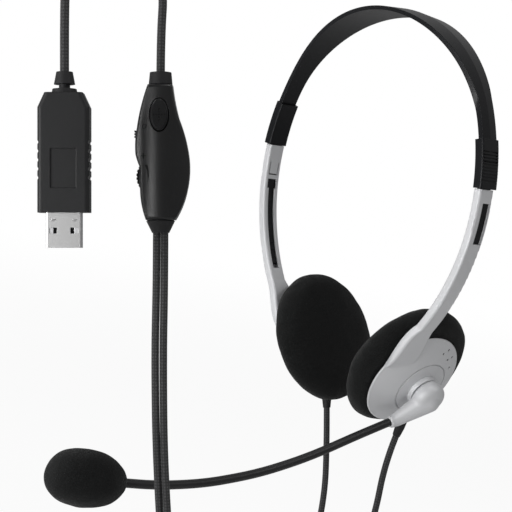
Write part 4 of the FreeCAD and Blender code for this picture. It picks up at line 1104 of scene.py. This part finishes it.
left_cloth = vent_cloth("vent_cloth_left")
for left, right_name, finish, slot_name in (
        (left_skin, "cover_fillet_right", silver, "silver_plastic"),
        (left_cloth, "vent_cloth_right", black_plastic, "black_plastic")):
    finished(mirrored_copy(left, right_name), finish, "right_arm", slot_name)
    finished(left, finish, "left_arm", slot_name)
print("vent cloths:", len(VENTS), "discs a side")

# %% [markdown]
# ## Seals at the control's ends
# The two collars are soft plugs pressed into the casing, and a thin lip fills the gap where they
# come out. A turned ring does for both.

# %% Collar seals
for name, y, way, radius in (("seal_top", 24.4, 1, 4.15), ("seal_bottom", -24.2, -1, 4.9)):
    lip = [(0, -0.25), (radius - 0.2, -0.25), (radius, -0.1), (radius, 0.3), (radius - 0.15, 0.4),
           (0, 0.4)]
    turn = frame_at((0, 0, 0), (1, 0, 0), (0, 0, -way), (0, way, 0))
    where = CONTROL_FRAME @ Matrix.Translation(Vector((0.2, y, 0)) * MM) @ turn
    finished(turned(name, lip, 40, where), rubber, "headband", "soft_rubber")
print("seals made")

# %% [markdown]
# ## Inside the plug's shell
# Two square windows in the shell show its inside: half of each is the gap behind the tongue,
# which a dark plate fills as painted shade, and half is a spring leaf bent in from the sheet.
# Above each window a half-moon is pressed into the sheet. They are small plates and domes, set
# in the plug's frame.

# %% Plug details
def plate(name, x, y, z, wide, tall, thick, where):
    """A small plate with eased edges."""
    shape = bmesh.new()
    bmesh.ops.create_cube(shape, size=1.0)
    for v in shape.verts:
        v.co = where @ (Vector((x + v.co.x * wide, y + v.co.y * tall, z + v.co.z * thick)) * MM)
    bmesh.ops.bevel(shape, geom=shape.edges[:], offset=0.08 * MM, segments=2,
                    affect="EDGES", profile=0.6)
    return placed(name, closed(shape, bpy.data.meshes.new(name), smooth=False))


def half_moon(name, x, y, z, radius, rise, where, rings=6, sides=24):
    """A low half dome with its straight edge up."""
    flatness, root = 0.62, -0.15
    corners, faces = [(0, 0, rise)], []
    for k in range(1, rings + 1):
        share = k / rings
        corners += [(radius * share * math.cos(math.pi * i / sides),
                     -radius * flatness * share * math.sin(math.pi * i / sides),
                     rise * (1 - share ** 2)) for i in range(sides + 1)]
    row = sides + 1
    faces += [(0, 1 + i, 2 + i) for i in range(sides)]
    for k in range(rings - 1):
        a = 1 + k * row
        faces += [(a + i, a + row + i, a + row + i + 1, a + i + 1) for i in range(sides)]
    edge = [1 + (rings - 1) * row + i for i in range(row)]
    under = len(corners)
    corners += [(*corners[i][:2], root) for i in edge]
    faces += [(edge[i], under + i, under + i + 1, edge[i + 1]) for i in range(sides)]
    faces.append([0] + [1 + k * row for k in range(rings)] + [under] + list(
        range(under + 1, under + row)) + [1 + k * row + sides for k in reversed(range(rings))])
    return mesh_piece(name, [where @ (Vector((x + c[0], y + c[1], z + c[2])) * MM)
                             for c in corners], faces)


SHELL_TOP, EDGE_Y, WINDOW_Y = 2.25, -20.25, -20.25 - 6.1
for side_name, sign in (("left", -1), ("right", 1)):
    finished(plate("window_leaf_" + side_name, sign * 4.25, WINDOW_Y, 1.75, 1.5, 2.3, 0.25,
                   PLUG_FRAME), steel, "headband", "steel")
    # painted shade: a dark plate in the inner half of each window stands for the shade in the gap behind the tongue
    finished(plate("window_gap_" + side_name, sign * 2.95, WINDOW_Y, 1.6, 1.35, 2.3, 0.3,
                   PLUG_FRAME), painted_shade_black, "headband", "black_plastic")
    finished(half_moon("shell_dimple_" + side_name, sign * 3.6, EDGE_Y - 2.3, SHELL_TOP, 1.0, 0.28,
                       PLUG_FRAME), nickel, "headband", "nickel")
print("plug details made")

# %% [markdown]
# ## Marks on the control
# The control carries a few engraved signs: a plus and a wedge for the volume, a ring at the
# sliding switch, and a cross of dots on the key. They are drawn flat in the control's frame and
# then dropped on the casing, each point along its own ray, so that they follow its curve. They
# are thin dark plates, and their darker colour is painted shade of the engraving.

# %% Flat signs
def dropped(name, polygons, where, node_name, lift=0.00004, above=0.02, longest=0.0006):
    """Flat polygons in millimetres, laid on a CAD node's surface along the frame's -Z."""
    shape = bmesh.new()
    for corners in polygons:
        shape.faces.new([shape.verts.new((x * MM, y * MM, above)) for x, y in corners])
    bmesh.ops.triangulate(shape, faces=shape.faces)
    long_edges = [e for e in shape.edges if e.calc_length() > longest]
    bmesh.ops.subdivide_edges(shape, edges=long_edges, cuts=4)
    bmesh.ops.triangulate(shape, faces=shape.faces)
    mesh = closed(shape, bpy.data.meshes.new(name), smooth=False)
    ground = nodes[node_name].data
    tree = BVHTree.FromPolygons([v.co for v in ground.vertices],
                                [tuple(p.vertices) for p in ground.polygons])
    down = -where.to_3x3().col[2]
    for v in mesh.vertices:
        start = where @ v.co
        hit = tree.ray_cast(start, down)
        v.co = (hit[0] if hit[0] else start) - down * lift
    made = placed(name, mesh)
    wall = made.modifiers.new("wall", "SOLIDIFY")
    wall.thickness, wall.offset = 0.12 * MM, 0.0
    made = plain(made, name)
    # painted shade: the signs take the darker black that stands for the shade in engraved marks
    made.data.materials.append(painted_shade_black.material)
    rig.slot(made, "button_black")
    return made


def bar(x, y, long, wide, turn=0.0):
    """A rectangle's corners."""
    c, s = math.cos(turn), math.sin(turn)
    return [(x + c * a - s * b, y + s * a + c * b)
            for a, b in ((-long / 2, -wide / 2), (long / 2, -wide / 2),
                         (long / 2, wide / 2), (-long / 2, wide / 2))]


def ring(x, y, radius, wide, parts=16):
    """Short bars round a circle."""
    step = 2 * math.pi / parts
    return [bar(x + radius * math.cos(i * step), y + radius * math.sin(i * step),
                2 * radius * math.sin(step / 2) * 1.15, wide, i * step + math.pi / 2)
            for i in range(parts)]


WEDGE = [(-5.2, -4.5), (-4.2, -4.6), (-3.75, -6.6), (-3.75, -8.6), (-4.05, -10.8),
         (-4.1, -8.6), (-4.3, -6.6)]
signs = dropped("control_signs", [bar(-5.7, -1.3, 1.9, 0.3), bar(-5.7, -1.3, 0.3, 1.9), WEDGE]
                + ring(-5.4, 9.2, 0.75, 0.22), CONTROL_FRAME, "control_front_shell")
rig.ride(signs, "headband")
print("signs:", len(signs.data.polygons), "faces")

# %% [markdown]
# ## Dots on the key
# Small things that repeat are a job for Geometry Nodes: the tree puts one low dome on every
# point of a mesh. The key's dots are nine points of a cross. The tree ends in Realize Instances,
# and the result becomes a plain mesh, because a joint moves it with the key.

# %% Key dots
def dots_tree():
    tree, add, link, chain = new_tree("dots", (("Radius", "Float"),))
    given, result = add("NodeGroupInput"), add("NodeGroupOutput")
    dome = add("GeometryNodeMeshUVSphere")
    dome.inputs["Segments"].default_value, dome.inputs["Rings"].default_value = 10, 6
    link(given.outputs["Radius"], dome.inputs["Radius"])
    spread = add("GeometryNodeInstanceOnPoints")
    link(dome.outputs[0], spread.inputs["Instance"])
    real, smooth = add("GeometryNodeRealizeInstances"), add("GeometryNodeSetShadeSmooth")
    paint = add("GeometryNodeSetMaterial")
    link(given.outputs["Material"], paint.inputs["Material"])
    chain(given, spread, real, smooth, paint, result)
    return tree


KEY_AT, KEY_TOP = (0.0, 13.3), 6.4
cross = [(0, 0)] + [(x * k, y * k) for k in (1.0, 2.0)
                    for x, y in ((1, 0), (-1, 0), (0, 1), (0, -1))]
seeds = bpy.data.meshes.new("key_points")
seeds.from_pydata([tuple(CONTROL_FRAME @ (Vector((KEY_AT[0] + x, KEY_AT[1] + y, KEY_TOP)) * MM))
                   for x, y in cross], [], [])
# painted shade: the dots take the same darker black as the engraved signs
key_dots = plain(run_tree(placed("key_points", seeds), dots_tree(), Radius=0.24 * MM,
                          Material=painted_shade_black.material), "key_dots")
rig.ride(key_dots, "talk_button")
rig.slot(key_dots, "button_black")
print("key dots:", len(key_dots.data.polygons), "faces")

# %% [markdown]
# ## Floor and light
# A pale sweep of floor and soft lights from the camera's left, as in a product studio: faces
# that look left shine and those that look right stay darker, which shows the silver's form. The
# floor is lifted towards white for the camera alone, so the object isn't lit by it any more than
# by a real one, and it still keeps the object's shadow. Gloss reflects only a part of the white
# surroundings, so that black plastic stays black.

# %% Stage
def floor_finish():
    finish = Finish("floor", (0.9, 0.9, 0.9), 0.9)
    path = finish.node("ShaderNodeLightPath", out="Is Camera Ray")
    away = finish.node("ShaderNodeVectorMath", {"operation": "LENGTH"}, {0: finish.place()}, out=1)
    glow = finish.node("ShaderNodeEmission", None, {"Color": (1, 1, 1, 1), "Strength": 1.0})
    body = Wire(finish, finish.shader.outputs[0])
    near, far, least = 0.4, 1.4, 0.92
    share = path * (away.soft(near, far) * (1 - least) + least)
    mixed = finish.node("ShaderNodeMixShader", None, {0: share, 1: body, 2: glow})
    out = finish.tree.nodes["Material Output"]
    finish.tree.links.new(mixed.socket, out.inputs["Surface"])
    return finish


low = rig.bounds()[0][2]
FLOOR_HALF, FLOOR_GAP = 6.0, 0.0005
floor_mesh = bpy.data.meshes.new("floor")
floor_mesh.from_pydata([(x * FLOOR_HALF, y * FLOOR_HALF, low - FLOOR_GAP) for x, y in
                        ((-1, -1), (1, -1), (1, 1), (-1, 1))], [], [(0, 1, 2, 3)])
floor_mesh.materials.append(floor_finish().material)
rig.stage(placed("floor", floor_mesh))

world = bpy.data.worlds.new("studio")
bpy.context.scene.world = world
world.use_nodes = True
sky = world.node_tree
sky.nodes["Background"].inputs["Color"].default_value = (1, 1, 1, 1)
LIT_BY, GLOSSY_SHARE = 0.15, 0.3       # the world as a light; how much of it gloss reflects


def sky_maths(operation, first, second):
    made = sky.nodes.new("ShaderNodeMath")
    made.operation = operation
    for socket, value in zip(made.inputs, (first, second)):
        if isinstance(value, float):
            socket.default_value = value
        else:
            sky.links.new(value, socket)
    return made.outputs[0]


rays = sky.nodes.new("ShaderNodeLightPath").outputs
seen = sky_maths("MULTIPLY", rays["Is Glossy Ray"], GLOSSY_SHARE)
for ray in ("Is Camera Ray", "Is Transmission Ray"):
    seen = sky_maths("MAXIMUM", seen, rays[ray])
strength = sky.nodes.new("ShaderNodeMapRange")
strength.inputs["To Min"].default_value, strength.inputs["To Max"].default_value = LIT_BY, 1.0
sky.links.new(seen, strength.inputs["Value"])
sky.links.new(strength.outputs["Result"], sky.nodes["Background"].inputs["Strength"])

LAMP_DISTANCE = 0.95
for name, place, width, watts in (
        ("key", TARGET + (BACK * 0.66 - RIGHT * 0.75 + UP * 0.08) * LAMP_DISTANCE, 0.30, 3.9),
        ("fill", TARGET + (BACK * 0.90 - RIGHT * 0.43) * LAMP_DISTANCE, 0.12, 1.1),
        ("upper", Vector((-0.75, -0.75, 0.75)), 0.45, 4.0),
        ("rim", Vector((0.75, 0.15, 0.75)), 0.25, 1.2),
        ("top", Vector((0.1, -0.1, 1.3)), 0.4, 3.0)):
    lamp = placed(name, bpy.data.lights.new(name, "AREA"))
    lamp.data.shape, lamp.data.size, lamp.data.energy = "DISK", width, watts
    lamp.location = place
    lamp.rotation_euler = (TARGET - place).to_track_quat("-Z", "Y").to_euler()
print("floor at", round(low, 4))

# %% [markdown]
# ## Sizes
# The CAD model's box and the dressed model's box are both written down, so that they can be set
# side by side.

# %% Sizes
with open("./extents.json", "w") as out:
    json.dump({"cad": cad_box, "visual": [list(corner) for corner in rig.bounds()]}, out)
